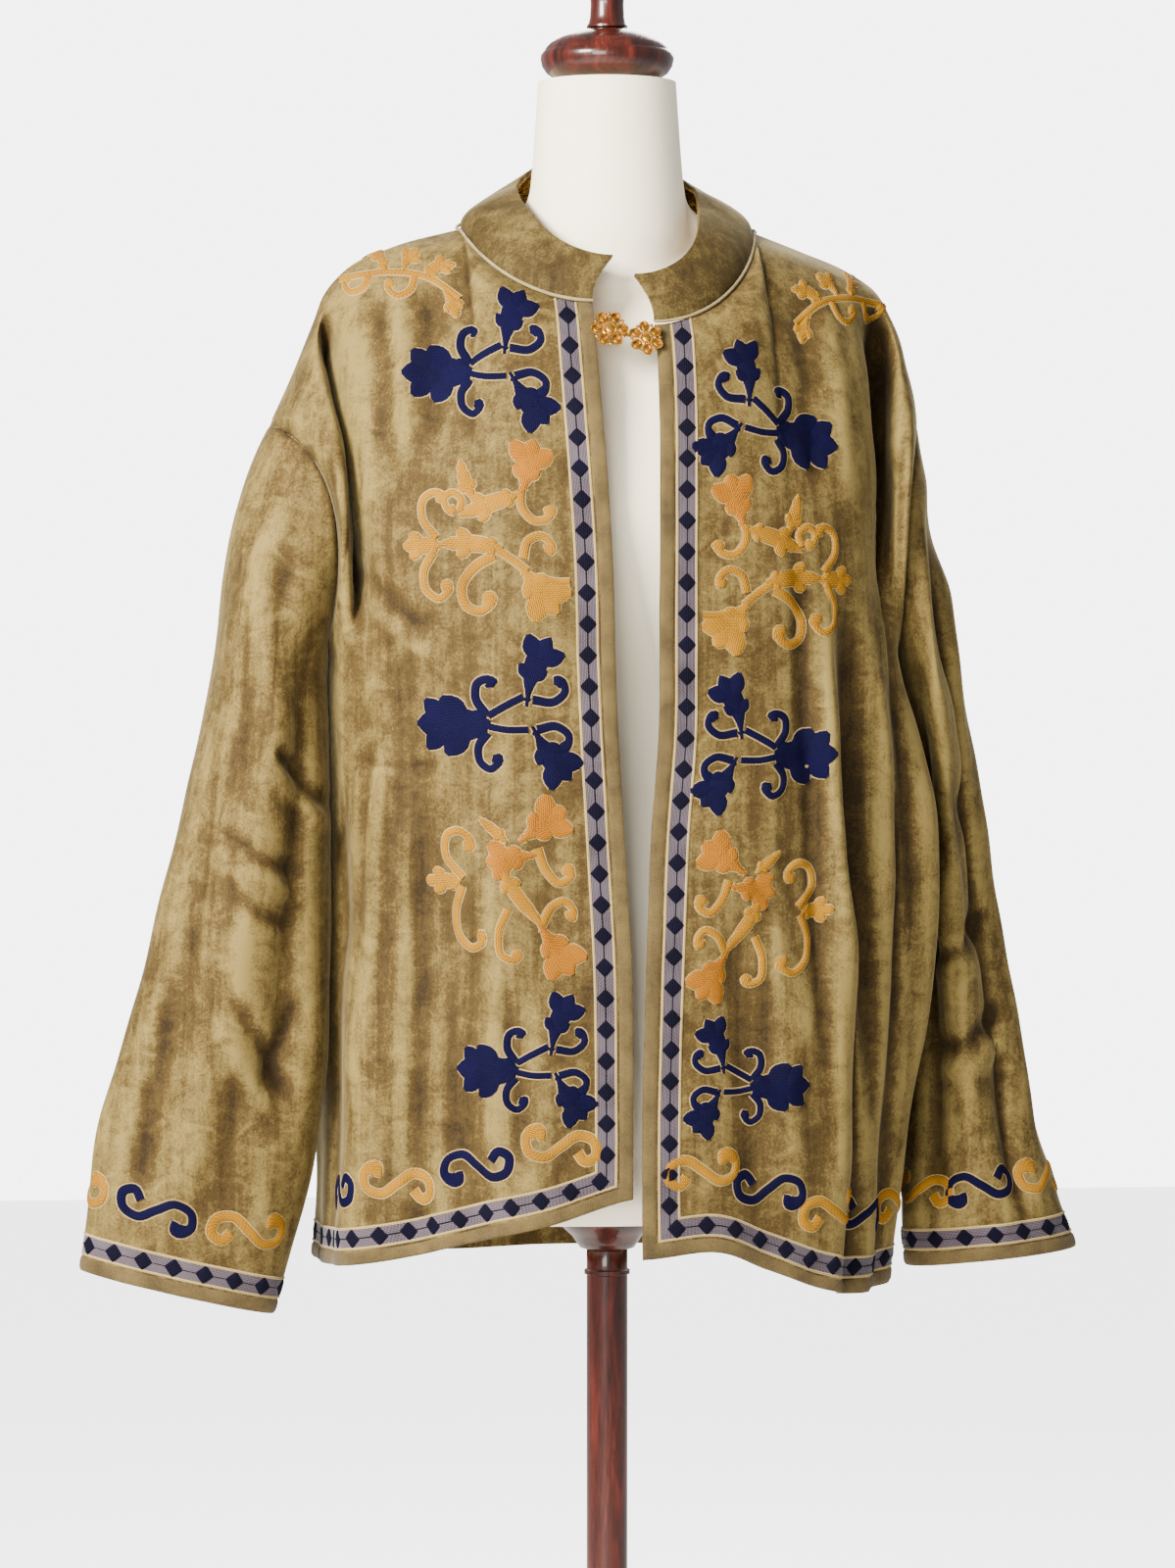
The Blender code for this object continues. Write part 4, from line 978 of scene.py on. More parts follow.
def wall_corners(rows, columns, closed):
    """The corners of a wall's faces as layer, row and column, the outer layer first."""
    across = columns if closed else columns - 1
    r, c = (a.ravel() for a in np.meshgrid(np.arange(rows - 1), np.arange(across), indexing="ij"))
    near = np.zeros_like(r)
    outer = [[near, r, c], [near, r + 1, c], [near, r + 1, c + 1], [near, r, c + 1]]
    far = near + 1
    inner = [[far, r, c], [far, r, c + 1], [far, r + 1, c + 1], [far, r + 1, c]]
    c = np.arange(across)
    zero, one, last = np.zeros_like(c), np.ones_like(c), np.full_like(c, rows - 1)
    top = [[zero, zero, c], [zero, zero, c + 1], [one, zero, c + 1], [one, zero, c]]
    bottom = [[zero, last, c + 1], [zero, last, c], [one, last, c], [one, last, c + 1]]
    sides = [outer, inner, top, bottom]
    if not closed:
        r = np.arange(rows - 1)
        zero, one, last = np.zeros_like(r), np.ones_like(r), np.full_like(r, columns - 1)
        sides.append([[zero, r + 1, zero], [zero, r, zero], [one, r, zero], [one, r + 1, zero]])
        sides.append([[zero, r, last], [zero, r + 1, last], [one, r + 1, last], [one, r, last]])
    return np.concatenate([np.stack(side).transpose(2, 0, 1) for side in sides])


def faces_out(points, faces):
    """The faces turned to point out of what they enclose."""
    a, b, c, d = (points[faces[:, i]] for i in range(4))
    volume = (a * (np.cross(b, c) + np.cross(c, d))).sum()
    return faces[:, ::-1] if volume < 0 else faces


def flat_measure(grid, closed):
    """A cloth's own coordinates in metres: how far across and how far down each of its points is."""
    if closed:
        grid = np.concatenate([grid, grid[:, :1]], axis=1)
    across = np.linalg.norm(np.diff(grid, axis=1), axis=2)
    across = np.concatenate([np.zeros((len(grid), 1)), np.cumsum(across, axis=1)], axis=1)
    across = across - across.mean(axis=1, keepdims=True)
    down = np.linalg.norm(np.diff(grid, axis=0), axis=2)
    down = np.concatenate([np.zeros((1, grid.shape[1])), np.cumsum(down, axis=0)], axis=0)
    return np.stack([across, -down], axis=2)


def joined_walls(name, walls, material):
    """One object of closed walls: each an outer and an inner grid, whether it closes round, and its UV."""
    points, faces, places = [], [], []
    start = 0
    for outer, inner, closed, flat in walls:
        rows, columns = outer.shape[:2]
        corners = wall_corners(rows, columns, closed)
        layer_points = np.concatenate([outer.reshape(-1, 3), inner.reshape(-1, 3)])
        index = corners[..., 0] * rows * columns + corners[..., 1] * columns + corners[..., 2] % columns
        turned_out = faces_out(layer_points, index)
        order = slice(None, None, -1) if turned_out is not index else slice(None)
        places.append(flat[corners[..., 1], corners[..., 2]][:, order].reshape(-1, 2))
        points.append(layer_points)
        faces.append(turned_out + start)
        start += len(layer_points)
    mesh = bpy.data.meshes.new(name)
    mesh.from_pydata(np.concatenate(points).tolist(), [], np.concatenate(faces).tolist())
    layer = mesh.uv_layers.new(name="cloth")
    layer.data.foreach_set("uv", np.concatenate(places).astype(np.float32).ravel())
    mesh.materials.append(material)
    piece = bpy.data.objects.new(name, mesh)
    bpy.context.scene.collection.objects.link(piece)
    mesh.shade_smooth()
    mesh.set_sharp_from_angle(angle=CLOTH_SHARP)
    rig.ride(piece, "root")
    return piece


# Creases given for each panel, in millimetres: side (-1 front, 1 back, 0 both), depth (below 0 a
# trough), half width, and the points of its line as x and z
CREASES = {
    "front_left": (
        (-1, 4.2, 5, (134, 1130), (134, 1049), (139, 969), (153.5, 843), (163, 742), (166, 680)),
        (-1, -5.5, 8.5, (148, 1120), (151, 1000), (163, 870), (175, 742), (178, 700)),
        (-1, 4, 4.5, (170, 1290), (172, 1148), (178, 1035), (189, 937), (192, 853), (193, 738)),
        (-1, -5, 6, (181, 1305), (181, 1180), (184, 1060)),
        (-1, -4, 7, (112, 1180), (116, 1040), (126, 880), (138, 730)),
        (-1, 3, 9, (90, 1060), (93, 940), (104, 800), (112, 690)),
        (-1, -3.5, 11, (66, 900), (74, 800), (82, 700)),
        (-1, -3, 8, (120, 1320), (126, 1250), (128, 1170)),
        (-1, 3, 8, (142, 1320), (147, 1250), (150, 1160)),
    ),
    "front_right": (
        (-1, -3.5, 9, (-163, 1322), (-163, 1270), (-160, 1190)),
        (-1, 3, 7, (-145, 1322), (-147, 1270), (-146, 1180)),
        (-1, -3, 8, (-128, 1325), (-130, 1270), (-128, 1200)),
        (-1, 3.5, 6, (-186, 1285), (-184, 1150), (-185, 980), (-188, 760)),
        (-1, 4.2, 6.5, (-162, 1010), (-165, 976), (-168, 888), (-182, 770)),
        (-1, -4, 8, (-172, 1060), (-176, 960), (-182, 850)),
        (-1, 4.5, 8.5, (-146, 990), (-147, 900), (-148, 780), (-150, 680)),
        (-1, -5, 9.5, (-124, 980), (-121, 880), (-118, 770), (-119, 690)),
        (-1, 3.5, 9, (-96, 960), (-90, 870), (-92, 770), (-96, 700)),
        (-1, -4.5, 10, (-88, 860), (-76, 790), (-72, 720)),
        (-1, -1.6, 2.8, (-189, 1002), (-150, 995), (-118, 998)),
        (-1, -2, 6, (-176, 1130), (-150, 1100), (-126, 1085)),
        (-1, 2, 6, (-170, 1108), (-146, 1080), (-124, 1066)),
    ),
    "sleeve_right": (
        (0, 5, 13, (-189, 1110), (-192, 1000), (-195, 920), (-201, 820), (-207, 700)),
        (-1, -4.5, 5, (-232, 1010), (-210, 985), (-196, 962)),
        (-1, 3.5, 5.5, (-236, 996), (-213, 972), (-200, 950)),
        (-1, -3.2, 5, (-268, 955), (-243, 934), (-206, 921)),
        (-1, 3, 5, (-276, 940), (-246, 918), (-210, 906)),
        (-1, -2.8, 4.5, (-262, 912), (-240, 896), (-214, 886)),
        (-1, -3.8, 5.5, (-270, 858), (-242, 812), (-214, 762)),
        (-1, -3, 4.8, (-212, 846), (-228, 812), (-246, 772)),
        (-1, 4, 6, (-276, 832), (-252, 795), (-228, 752)),
        (-1, 4.5, 8.5, (-236, 1170), (-240, 1130), (-255, 1036), (-275, 885), (-292, 800)),
        (-1, -5, 10, (-222, 1150), (-228, 1080), (-240, 1000)),
        (-1, -6, 15, (-256, 800), (-262, 740), (-266, 680)),
        (-1, 3.5, 9, (-232, 760), (-238, 710), (-242, 670)),
        (-1, -3.5, 8, (-298, 860), (-312, 780), (-326, 700)),
        (1, -4.5, 7, (-262, 960), (-236, 930), (-206, 925)),
        (1, -4.5, 7, (-282, 905), (-250, 880), (-214, 876)),
        (1, 4, 8, (-230, 1150), (-246, 1040), (-262, 920), (-286, 800)),
        (1, -4.5, 9, (-250, 840), (-262, 770), (-270, 700)),
    ),
    "sleeve_left": (
        (-1, -4.5, 7, (216, 1190), (221, 1120), (228, 1030)),
        (-1, 4, 6, (228, 1150), (236, 1060), (247, 960)),
        (-1, -4.5, 6, (232, 1000), (244, 920), (252, 850)),
        (-1, 3.5, 5.5, (226, 930), (234, 850), (242, 770)),
        (-1, -4, 6, (262, 900), (246, 872), (222, 858)),
        (-1, -4, 6.5, (272, 830), (250, 806), (222, 800)),
        (-1, 3.5, 6.5, (276, 812), (252, 790), (226, 782)),
        (1, -4.5, 7, (250, 985), (236, 955), (216, 945)),
        (1, -4.5, 7, (266, 900), (246, 878), (220, 872)),
        (1, 4, 8, (222, 1150), (232, 1040), (244, 900), (262, 770)),
    ),
    "back": (
        (1, -4.5, 11, (-150, 1280), (-128, 1180), (-122, 1040)),
        (1, 4, 10, (-122, 1270), (-100, 1160), (-96, 1020), (-100, 880)),
        (1, -4.5, 11, (146, 1275), (130, 1170), (126, 1020)),
        (1, 4, 9.5, (118, 1265), (104, 1150), (100, 990), (106, 850)),
        (1, -4, 12, (-60, 1200), (-54, 1050), (-56, 860)),
        (1, -3.8, 12, (52, 1180), (58, 1010), (62, 820)),
        (1, 3, 10, (14, 1120), (10, 980), (16, 800)),
        (1, -4.5, 7.5, (-186, 1120), (-150, 1085), (-118, 1076)),
        (1, -4.5, 7.5, (186, 1118), (152, 1082), (120, 1070)),
        (1, 3.5, 9, (-146, 960), (-150, 840), (-148, 720)),
        (1, 3.5, 9, (150, 930), (146, 820), (148, 710)),
    ),
}

# Soft unevenness all over the cloth: turns a metre along x, y and z, start of the wave, height
RIPPLES = (
    (3.1, 5.2, 1.7, 0.4, 0.0011),
    (-7.3, 2.6, 2.9, 1.9, 0.0008),
    (11.2, -4.1, 3.6, 3.3, 0.0005),
    (5.4, 9.7, -6.1, 5.1, 0.0005),
    (17.0, 6.0, 8.3, 0.8, 0.0003),
    (-24.0, 9.0, 13.0, 2.2, 0.0003),
)
RIPPLE_FADE = (1.26, 1.32)

# A crease grows and dies between these shares of its line, and where its side of the cloth turns away
CREASE_START = (-0.02, 0.22)
CREASE_END = (0.75, 1.02)
CREASE_SIDE = (-0.35, 0.05)
SEAM_HOLD_COLUMNS = 5

# Distances to another cloth between which the creases grow, the share of that distance that a cloth may
# take, and the distance that is kept
CLOTH_ROOM = (0.0010, 0.0045)
SLEEVE_ROOM_SHARE = 0.75
BODY_ROOM_SHARE = 0.20
CLOTH_APART = 0.0008

# The painted highlight and painted shade of folds in the velvet's colour: rows and columns looked at on each
# side, height of a full fold, and the reach and depth of the painted shadow along the armhole seam
FOLD_REACH = 5
FOLD_FULL = 0.0022
SEAM_ROWS = 2.0
SEAM_PAINTED_SHADE = 0.9


def distance_along(points, line):
    """How far each point is from a line of x and z places, and where along the line it is nearest, 0 to 1."""
    flat = points[..., [0, 2]]
    lengths = np.linalg.norm(np.diff(line, axis=0), axis=1)
    starts = np.concatenate([[0], np.cumsum(lengths)])
    best = np.full(flat.shape[:2], 1e9)
    share = np.zeros(flat.shape[:2])
    for a, b, length, start in zip(line, line[1:], lengths, starts):
        f = np.clip(((flat - a) @ (b - a)) / length**2, 0, 1)
        distance = np.linalg.norm(flat - (a + f[..., None] * (b - a)), axis=-1)
        nearer = distance < best
        best = np.where(nearer, distance, best)
        share = np.where(nearer, (start + f * length) / starts[-1], share)
    return best, share


def room(points, others):
    """How far each point is from the other cloths."""
    others = np.concatenate([other.reshape(-1, 3) for other in others])
    tree = kdtree.KDTree(len(others))
    for i, place in enumerate(others):
        tree.insert(place, i)
    tree.balance()
    return np.array([tree.find(place)[2] for place in points.reshape(-1, 3)]).reshape(points.shape[:2])


def seam_hold(count, seams):
    """0 on a panel's sewn side edges and 1 a few columns in."""
    column = np.arange(count)
    hold = np.ones(count)
    if "first" in seams:
        hold = hold * ease(column, 0, SEAM_HOLD_COLUMNS)
    if "last" in seams:
        hold = hold * ease(count - 1 - column, 0, SEAM_HOLD_COLUMNS)
    return hold


def crease_depth(points, normals, panel):
    """How far the creases push a panel's cloth out at each of its points."""
    total = np.zeros(points.shape[:2])
    for side, depth, half_width, *line in CREASES[panel]:
        distance, share = distance_along(points, np.array(line) / 1000)
        fade = ease(share, *CREASE_START) * (1 - ease(share, *CREASE_END))
        fade = fade * ease(side * normals[..., 1], *CREASE_SIDE)
        total += depth / 1000 * fade * np.exp(-((distance / (half_width / 1000)) ** 2))
    return total


def unevenness(points):
    """Soft waves all over the cloth, which die out towards the neck."""
    total = np.zeros(points.shape[:2])
    for x, y, z, start, height in RIPPLES:
        total += height * np.sin(2 * math.pi * (points @ np.array([x, y, z])) + start)
    return total * (1 - ease(points[..., 2], *RIPPLE_FADE))


def creased(panel, name, others):
    """Gives the panel its creases and the normals of its new shape; near another cloth it stays as it was."""
    grid = panel["grid"]
    depth = crease_depth(grid, panel["normals"], name) * seam_hold(grid.shape[1], panel["seams"])
    depth = depth + unevenness(grid)
    free = room(grid, others)
    share = SLEEVE_ROOM_SHARE if panel["closed"] else BODY_ROOM_SHARE
    depth = np.minimum(depth * ease(free, *CLOTH_ROOM), np.maximum(free * share - CLOTH_APART, 0))
    panel["grid"] = panel["grid"] + panel["normals"] * depth[..., None]
    panel["normals"] = outward_normals(panel)


def body_panels():
    """The fronts, the back and the sleeves as grids with their outward normals."""
    back_left = panel_grid("left", False)[:, ::-1]
    back_right = mirrored(panel_grid("right", False)[:, ::-1])
    back = np.concatenate([back_left, back_right[:, 1:]], axis=1)
    panels = {
        "front_left": {"grid": panel_grid("left", True), "seams": ("top", "last")},
        "front_right": {"grid": mirrored(panel_grid("right", True)), "seams": ("top", "first")},
        "back": {"grid": back, "seams": ("top", "first", "last")},
        "sleeve_left": {"grid": sleeve_grid("left"), "seams": ("top",)},
        "sleeve_right": {"grid": mirrored(sleeve_grid("right")), "seams": ("top",)},
    }
    for name, panel in panels.items():
        panel["closed"] = name.startswith("sleeve")
        panel["seam_grid"] = panel["grid"]
        panel["normals"] = outward_normals(panel)
    share_seam_normals(panels)
    sleeves = [panels[name]["seam_grid"] for name in ("sleeve_left", "sleeve_right")]
    body = [panels[name]["seam_grid"] for name in ("front_left", "front_right", "back")]
    for name, panel in panels.items():
        creased(panel, name, body if panel["closed"] else sleeves)
    share_seam_normals(panels)
    return panels


def painted_fold_shade(grid, normals, closed):
    """Painted highlight above 0 where cloth stands out of what is round it, painted shade below 0 in a valley or a
    sleeve's seam.
    """
    wide = grid
    for axis in (1, 0):
        count = grid.shape[axis]
        near = np.arange(count)
        total = 0
        for shift in range(-FOLD_REACH, FOLD_REACH + 1):
            index = (near + shift) % count if closed and axis == 1 else np.clip(near + shift, 0, count - 1)
            total = total + np.take(wide, index, axis=axis)
        wide = total / (2 * FOLD_REACH + 1)
    shade = ((grid - wide) * normals).sum(axis=-1) / FOLD_FULL
    if closed:
        # A sleeve's first rows get a painted shadow along its armhole seam
        shade = shade - SEAM_PAINTED_SHADE * np.exp(-((np.arange(len(grid))[:, None] / SEAM_ROWS) ** 2))
    return np.clip(shade, -1, 1)


def stands_for(piece, node_name, slot):
    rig.replaces(piece, node_name)
    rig.slot(piece, slot)


def make_panels(panels, materials):
    """The velvet panels as thin walls, each in the place of its solid."""
    pieces = {}
    for name, panel in panels.items():
        outer = pull_back(panel["grid"], panel["seams"], SEAM_GAP)
        inner = pull_back(panel["grid"] - panel["normals"] * CLOTH, panel["seams"], SEAM_GAP)
        flat = flat_measure(panel["grid"], panel["closed"])
        piece = joined_walls(name + "_velvet", [(outer, inner, panel["closed"], flat)], materials["velvet"])
        # Painted highlight on ridges and painted shade in valleys and the armhole seam, kept on the points for the
        # velvet's colour
        shade = painted_fold_shade(panel["grid"], panel["normals"], panel["closed"]).ravel()
        layer = piece.data.attributes.new("fold", "FLOAT", "POINT")
        layer.data.foreach_set("value", np.concatenate([shade, shade]).astype(np.float32))
        stands_for(piece, name, "velvet")
        pieces[name] = piece
    return pieces


def collar_normals(grid):
    """Outward normals of the collar."""
    normals = grid_normals(grid, False)
    return normals if (normals[:, :, 1] * (grid[:, :, 1] - ARM_Y)).sum() > 0 else -normals


def make_collar(materials):
    """The stand collar and the printed facing on its inside."""
    outer = collar_grid(COLLAR_HEIGHT) + np.array([0, 0, COLLAR_LIFT])
    normals = collar_normals(outer)
    flat = flat_measure(outer, False)
    inner = outer - normals * COLLAR_CLOTH
    collar = joined_walls("collar_velvet", [(outer, inner, False, flat)], materials["velvet_fold"])
    stands_for(collar, "collar", "velvet")
    facing_outer = inner - normals * FACING_GAP
    facing_inner = facing_outer - normals * FACING_CLOTH
    walls = [(facing_outer, facing_inner, False, flat)]
    facing = joined_walls("collar_facing_print", walls, materials["facing"])
    stands_for(facing, "collar_facing", "facing")
    return collar, facing


# Step of the charts, across the cloth and along it
CHART_STEP = 0.002


def sample(field, row, column):
    """A grid's values at rows and columns that need not be whole."""
    row = np.clip(row, 0, field.shape[0] - 1.001)
    column = np.clip(column, 0, field.shape[1] - 1.001)
    r, c = row.astype(int), column.astype(int)
    f, g = (row - r)[..., None], (column - c)[..., None]
    upper = (1 - g) * field[r, c] + g * field[r, c + 1]
    lower = (1 - g) * field[r + 1, c] + g * field[r + 1, c + 1]
    return (1 - f) * upper + f * lower


def evenly_spaced(across, points, normals, start):
    """A chart's rows, resampled at even steps of the distance across."""
    count = int((across.max() - start) / CHART_STEP) + 1
    steps = start + CHART_STEP * np.arange(count)
    both = np.concatenate([points, normals], axis=2)
    even = [[np.interp(steps, line, row[:, k]) for k in range(6)] for line, row in zip(across, both)]
    even = np.array(even).transpose(0, 2, 1)
    return {"points": even[..., :3], "normals": unit(even[..., 3:]), "start": start}


def level_chart(grid, normals):
    """A panel's surface by distance across the cloth from its first column, and by height."""
    heights = np.maximum.accumulate(-grid[:, :, 2], axis=0)
    levels = np.arange(grid[:, :, 2].min() - 2 * CHART_STEP, grid[:, :, 2].max(), CHART_STEP)
    index = np.arange(len(grid))
    rows = np.array([np.interp(-levels, heights[:, c], index) for c in range(grid.shape[1])]).T
    columns = np.broadcast_to(np.arange(grid.shape[1]), rows.shape).astype(float)
    points = sample(grid, rows, columns)
    step = np.diff(points, axis=1)
    on_cloth = levels[:, None] <= grid[0, :, 2]
    length = np.where(on_cloth[:, 1:] & on_cloth[:, :-1], np.linalg.norm(step, axis=2), np.abs(step[..., 0]))
    across = np.concatenate([np.zeros((len(levels), 1)), np.cumsum(length, axis=1)], axis=1)
    chart = evenly_spaced(across, points, sample(normals, rows, columns), 0.0)
    chart["base"] = levels[0]
    hem = np.linalg.norm(np.diff(grid[-1, :, :2], axis=0), axis=1)
    chart["hem_across"] = np.concatenate([[0], np.cumsum(hem)])
    chart["hem_height"] = grid[-1, :, 2]
    top = np.interp(grid[0, :, 2], levels, np.arange(len(levels)))
    chart["top_across"] = np.array([sample(across[..., None], row, float(c))[0] for c, row in enumerate(top)])
    chart["top_height"] = grid[0, :, 2]
    return chart


def cuff_chart(grid, normals, height):
    """A sleeve's end by distance round from its front and up from its cuff; it opens at the back."""
    quarter = grid.shape[1] // 4
    order = (np.arange(grid.shape[1] + 1) - quarter) % grid.shape[1]
    grid, normals = grid[::-1, order], normals[::-1, order]
    up = np.linalg.norm(np.diff(grid, axis=0), axis=2)
    up = np.concatenate([np.zeros((1, grid.shape[1])), np.cumsum(up, axis=0)], axis=0)
    levels = np.arange(0, height, CHART_STEP)
    rows = np.array([np.interp(levels, up[:, c], np.arange(len(grid))) for c in range(grid.shape[1])]).T
    columns = np.broadcast_to(np.arange(grid.shape[1]), rows.shape).astype(float)
    points = sample(grid, rows, columns)
    length = np.linalg.norm(np.diff(points, axis=1), axis=2)
    across = np.concatenate([np.zeros((len(levels), 1)), np.cumsum(length, axis=1)], axis=1)
    across = (across / across[:, -1:] - 0.5) * across[0, -1]
    chart = evenly_spaced(across, points, sample(normals, rows, columns), float(across[0, 0]))
    chart["base"] = 0.0
    chart["half_round"] = float(across[0, -1])
    return chart


def on_cloth(chart, places, height):
    """Points over a chart: places are distance across and height, or for a cuff the distance up."""
    row = (places[..., 1] - chart["base"]) / CHART_STEP
    column = (places[..., 0] - chart["start"]) / CHART_STEP
    normals = unit(sample(chart["normals"], row, column))
    return sample(chart["points"], row, column) + normals * np.asarray(height)[..., None]


# Stitching: spacing of points along it, width and height of the pale outline, height of the thread over
# the cloth, how far it reaches into the velvet, and the least half width
STITCH_SPACING = 0.0016
HALO = 0.0009
HALO_HEIGHT = 0.0004
STITCH_HEIGHT = 0.0011
SUNK = 0.0004
LEAST_HALF_WIDTH = 0.0003
SCROLL_HALF_WIDTH = 2.6

# Border band: its middle from the edge, half widths, heights, and the diamonds
BAND_INSET = 0.018
BAND_HALF_WIDTH = 0.0066
GROUND_HEIGHT = 0.0004
LINE_HALF_WIDTH = 0.0010
LINE_HEIGHT = 0.0009
DARK_LINE_HALF_WIDTH = 0.0006
DARK_LINE_HEIGHT = 0.0008
DIAMOND_HALF = 0.0062
DIAMOND_PITCH = 0.0205
DIAMOND_STEPS = 9

# Bound edges
BINDING_INSET = 0.0003
BINDING_WIDTH = 0.0092
BINDING_HEIGHT = 0.0011
BINDING_STEPS = 7
BINDING_ROUND = 0.7

# Border lines: what they keep clear of the neckline and the side seams, and how many points they have
NECK_CLEAR = 0.0015
SEAM_CLEAR = 0.0006
FRONT_EDGE_STEPS = 155
FRONT_HEM_STEPS = 75
BACK_HEM_STEPS = 150
CUFF_STEPS = 120

# A lobed leaf: share of its width that its body has, reach and width of its side lobes, reach of its tip
LEAF_BODY = 0.62
LOBE_REACH = 1.30
LOBE_WIDTH = 0.40
LOBE_STEPS = 7
TIP_REACH = 1.15

# Motifs in millimetres from their middle, outwards from the front edge and up:
# kind, colour, half width, teeth on each side, points of its middle line
NAVY_BRANCH = (
    ("leaf", "navy", 17.0, 3, (18, -5), (40, -6), (64, -5)),
    ("curl", "navy", 2.6, 0, (20, 0), (27, 12), (25, 21), (18, 23), (15, 18)),
    ("curl", "navy", 2.4, 0, (20, -11), (27, -20), (26, -30), (19, -34), (14, -29), (17, -25)),
    ("stem", "navy", 2.4, 0, (19, 0), (8, 6), (-4, 12)),
    ("fan", "navy", 12.0, 3, (-6, 6), (-10, 26), (-23, 50)),
    ("curl", "navy", 2.4, 0, (-10, 10), (-24, 9), (-31, 16), (-29, 22), (-24, 20)),
    ("stem", "navy", 2.2, 0, (19, -7), (8, -9), (-6, -9)),
    ("fan", "navy", 12.5, 3, (-9, -7), (-17, -22), (-31, -40)),
    ("leaf", "navy", 4.5, 1, (-20, -26), (-28, -30), (-38, -34)),
    ("curl", "navy", 2.4, 0, (-12, -9), (-25, -7), (-32, -13), (-30, -20), (-26, -18)),
)
GOLD_BRANCH = (
    ("leaf", "gold", 8.0, 2, (44, -1), (58, -1), (72, -1)),
    ("leaf", "gold", 8.5, 2, (2, -3), (22, 0), (46, 0)),
    ("curl", "gold", 2.1, 0, (47, 4), (57, 18), (55, 30), (46, 34), (40, 28)),
    ("curl", "gold", 2.1, 0, (50, -6), (57, -19), (55, -31), (46, -36), (40, -29), (45, -25)),
    ("curl", "gold", 1.9, 0, (30, 21), (28, 29), (34, 34), (40, 30), (38, 23), (32, 22)),
    ("leaf", "gold", 8.5, 2, (-10, 32), (10, 26), (31, 18)),
    ("leaf", "gold", 6.5, 1, (20, 30), (25, 42), (28, 56)),
    ("fan", "orange", 12.5, 3, (-13, 32), (-17, 48), (-22, 64)),
    ("curl", "gold", 2.2, 0, (-12, 35), (-12, 24), (-20, 15), (-29, 17), (-31, 25)),
    ("curl", "gold", 2.2, 0, (-11, -10), (-15, 2), (-24, 5), (-30, -2), (-26, -6)),
    ("stem", "gold", 2.4, 0, (6, -4), (-3, -10), (-13, -18)),
    ("fan", "gold", 14.0, 3, (-9, -15), (-18, -27), (-29, -41)),
    ("stem", "gold", 1.9, 0, (-20, -22), (-32, -25), (-41, -25)),
    ("curl", "gold", 2.5, 0, (8, -8), (22, -16), (31, -29), (28, -41), (18, -44), (12, -37), (16, -32)),
)
GOLD_BRACKET = (
    ("leaf", "gold", 7.5, 2, (38, 3), (50, 4), (64, 4)),
    ("curl", "gold", 2.2, 0, (35, 6), (47, 22), (43, 35), (33, 37), (26, 30), (31, 24)),
    ("curl", "gold", 2.2, 0, (37, 1), (44, -16), (42, -32), (32, -40), (22, -34), (26, -28)),
    ("fan", "orange", 11.0, 3, (-20, 22), (-6, 20), (12, 17)),
    ("fan", "orange", 13.0, 3, (-8, 30), (-22, 40), (-37, 50)),
    ("leaf", "gold", 5.0, 1, (0, 30), (9, 38), (19, 46)),
    ("curl", "gold", 2.3, 0, (-20, 26), (-25, 11), (-33, 3), (-41, 8), (-37, 15)),
    ("leaf", "gold", 7.0, 1, (6, 14), (-4, -4), (-22, -27)),
    ("curl", "gold", 2.2, 0, (-20, -24), (-28, -12), (-36, -9), (-41, -16), (-37, -21)),
    ("fan", "orange", 13.0, 3, (-18, -24), (-27, -38), (-37, -54)),
    ("curl", "gold", 2.0, 0, (2, -14), (9, -30), (7, -45), (-1, -47), (-3, -40)),
)
SHOULDER_SPRAY = (
    ("stem", "gold", 1.9, 0, (-45, -12), (-20, -2), (5, -4), (30, -12), (48, -18)),
    ("leaf", "gold", 6.0, 2, (-20, -2), (-28, 8), (-40, 12)),
    ("fan", "gold", 7.0, 2, (-4, -3), (-6, 8), (-14, 18)),
    ("leaf", "gold", 5.5, 2, (8, -4), (16, 6), (28, 9)),
    ("curl", "gold", 1.9, 0, (-12, -3), (-10, -14), (-2, -20), (6, -15), (2, -10)),
    ("curl", "gold", 1.9, 0, (20, -8), (24, -20), (34, -25), (41, -19), (36, -14)),
    ("fan", "gold", 6.5, 2, (-32, -7), (-40, -16), (-46, -26)),
)
# A lying S scroll, in millimetres
SCROLL = (
    (-11, -4), (-16, -10), (-23, -7), (-22, 3), (-12, 7), (0, 0),
    (12, -7), (22, -3), (23, 7), (16, 10), (11, 4),
)

# Places of the motifs on each front: motif, distance from the front edge, height, size, turn
FRONT_MOTIFS = {
    "right": (
        (NAVY_BRANCH, 0.068, 1.262, 1.0, 0.0),
        (GOLD_BRANCH, 0.070, 1.142, 1.0, 0.0),
        (NAVY_BRANCH, 0.066, 1.029, 1.03, 0.0),
        (GOLD_BRACKET, 0.078, 0.916, 1.0, 0.0),
        (NAVY_BRANCH, 0.060, 0.801, 0.90, 0.0),
        (SHOULDER_SPRAY, 0.135, 1.330, 1.0, 0.25),
    ),
    "left": (
        (NAVY_BRANCH, 0.066, 1.227, 0.97, -0.22),
        (GOLD_BRANCH, 0.070, 1.120, 1.0, 0.0),
        (NAVY_BRANCH, 0.062, 1.008, 0.95, 0.0),
        (GOLD_BRACKET, 0.072, 0.896, 0.94, 0.0),
        (NAVY_BRANCH, 0.060, 0.788, 0.82, 0.0),
        (SHOULDER_SPRAY, 0.150, 1.315, 1.0, 0.25),
    ),
}
# Scrolls over the hem of each front: first place from the edge, pitch, rise over the hem; none nearer the
# side seam
HEM_SCROLLS = {"right": (0.048, 0.058, 0.050), "left": (0.041, 0.048, 0.054)}
HEM_SCROLLS_END = 0.02
# Scrolls over the cuffs: distances round from the front, and rise over the cuff
CUFF_SCROLLS = {"right": (-0.085, -0.025, 0.035), "left": (-0.048, 0.008, 0.055)}
CUFF_SCROLL_RISE = 0.053
CUFF_REACH = 0.12


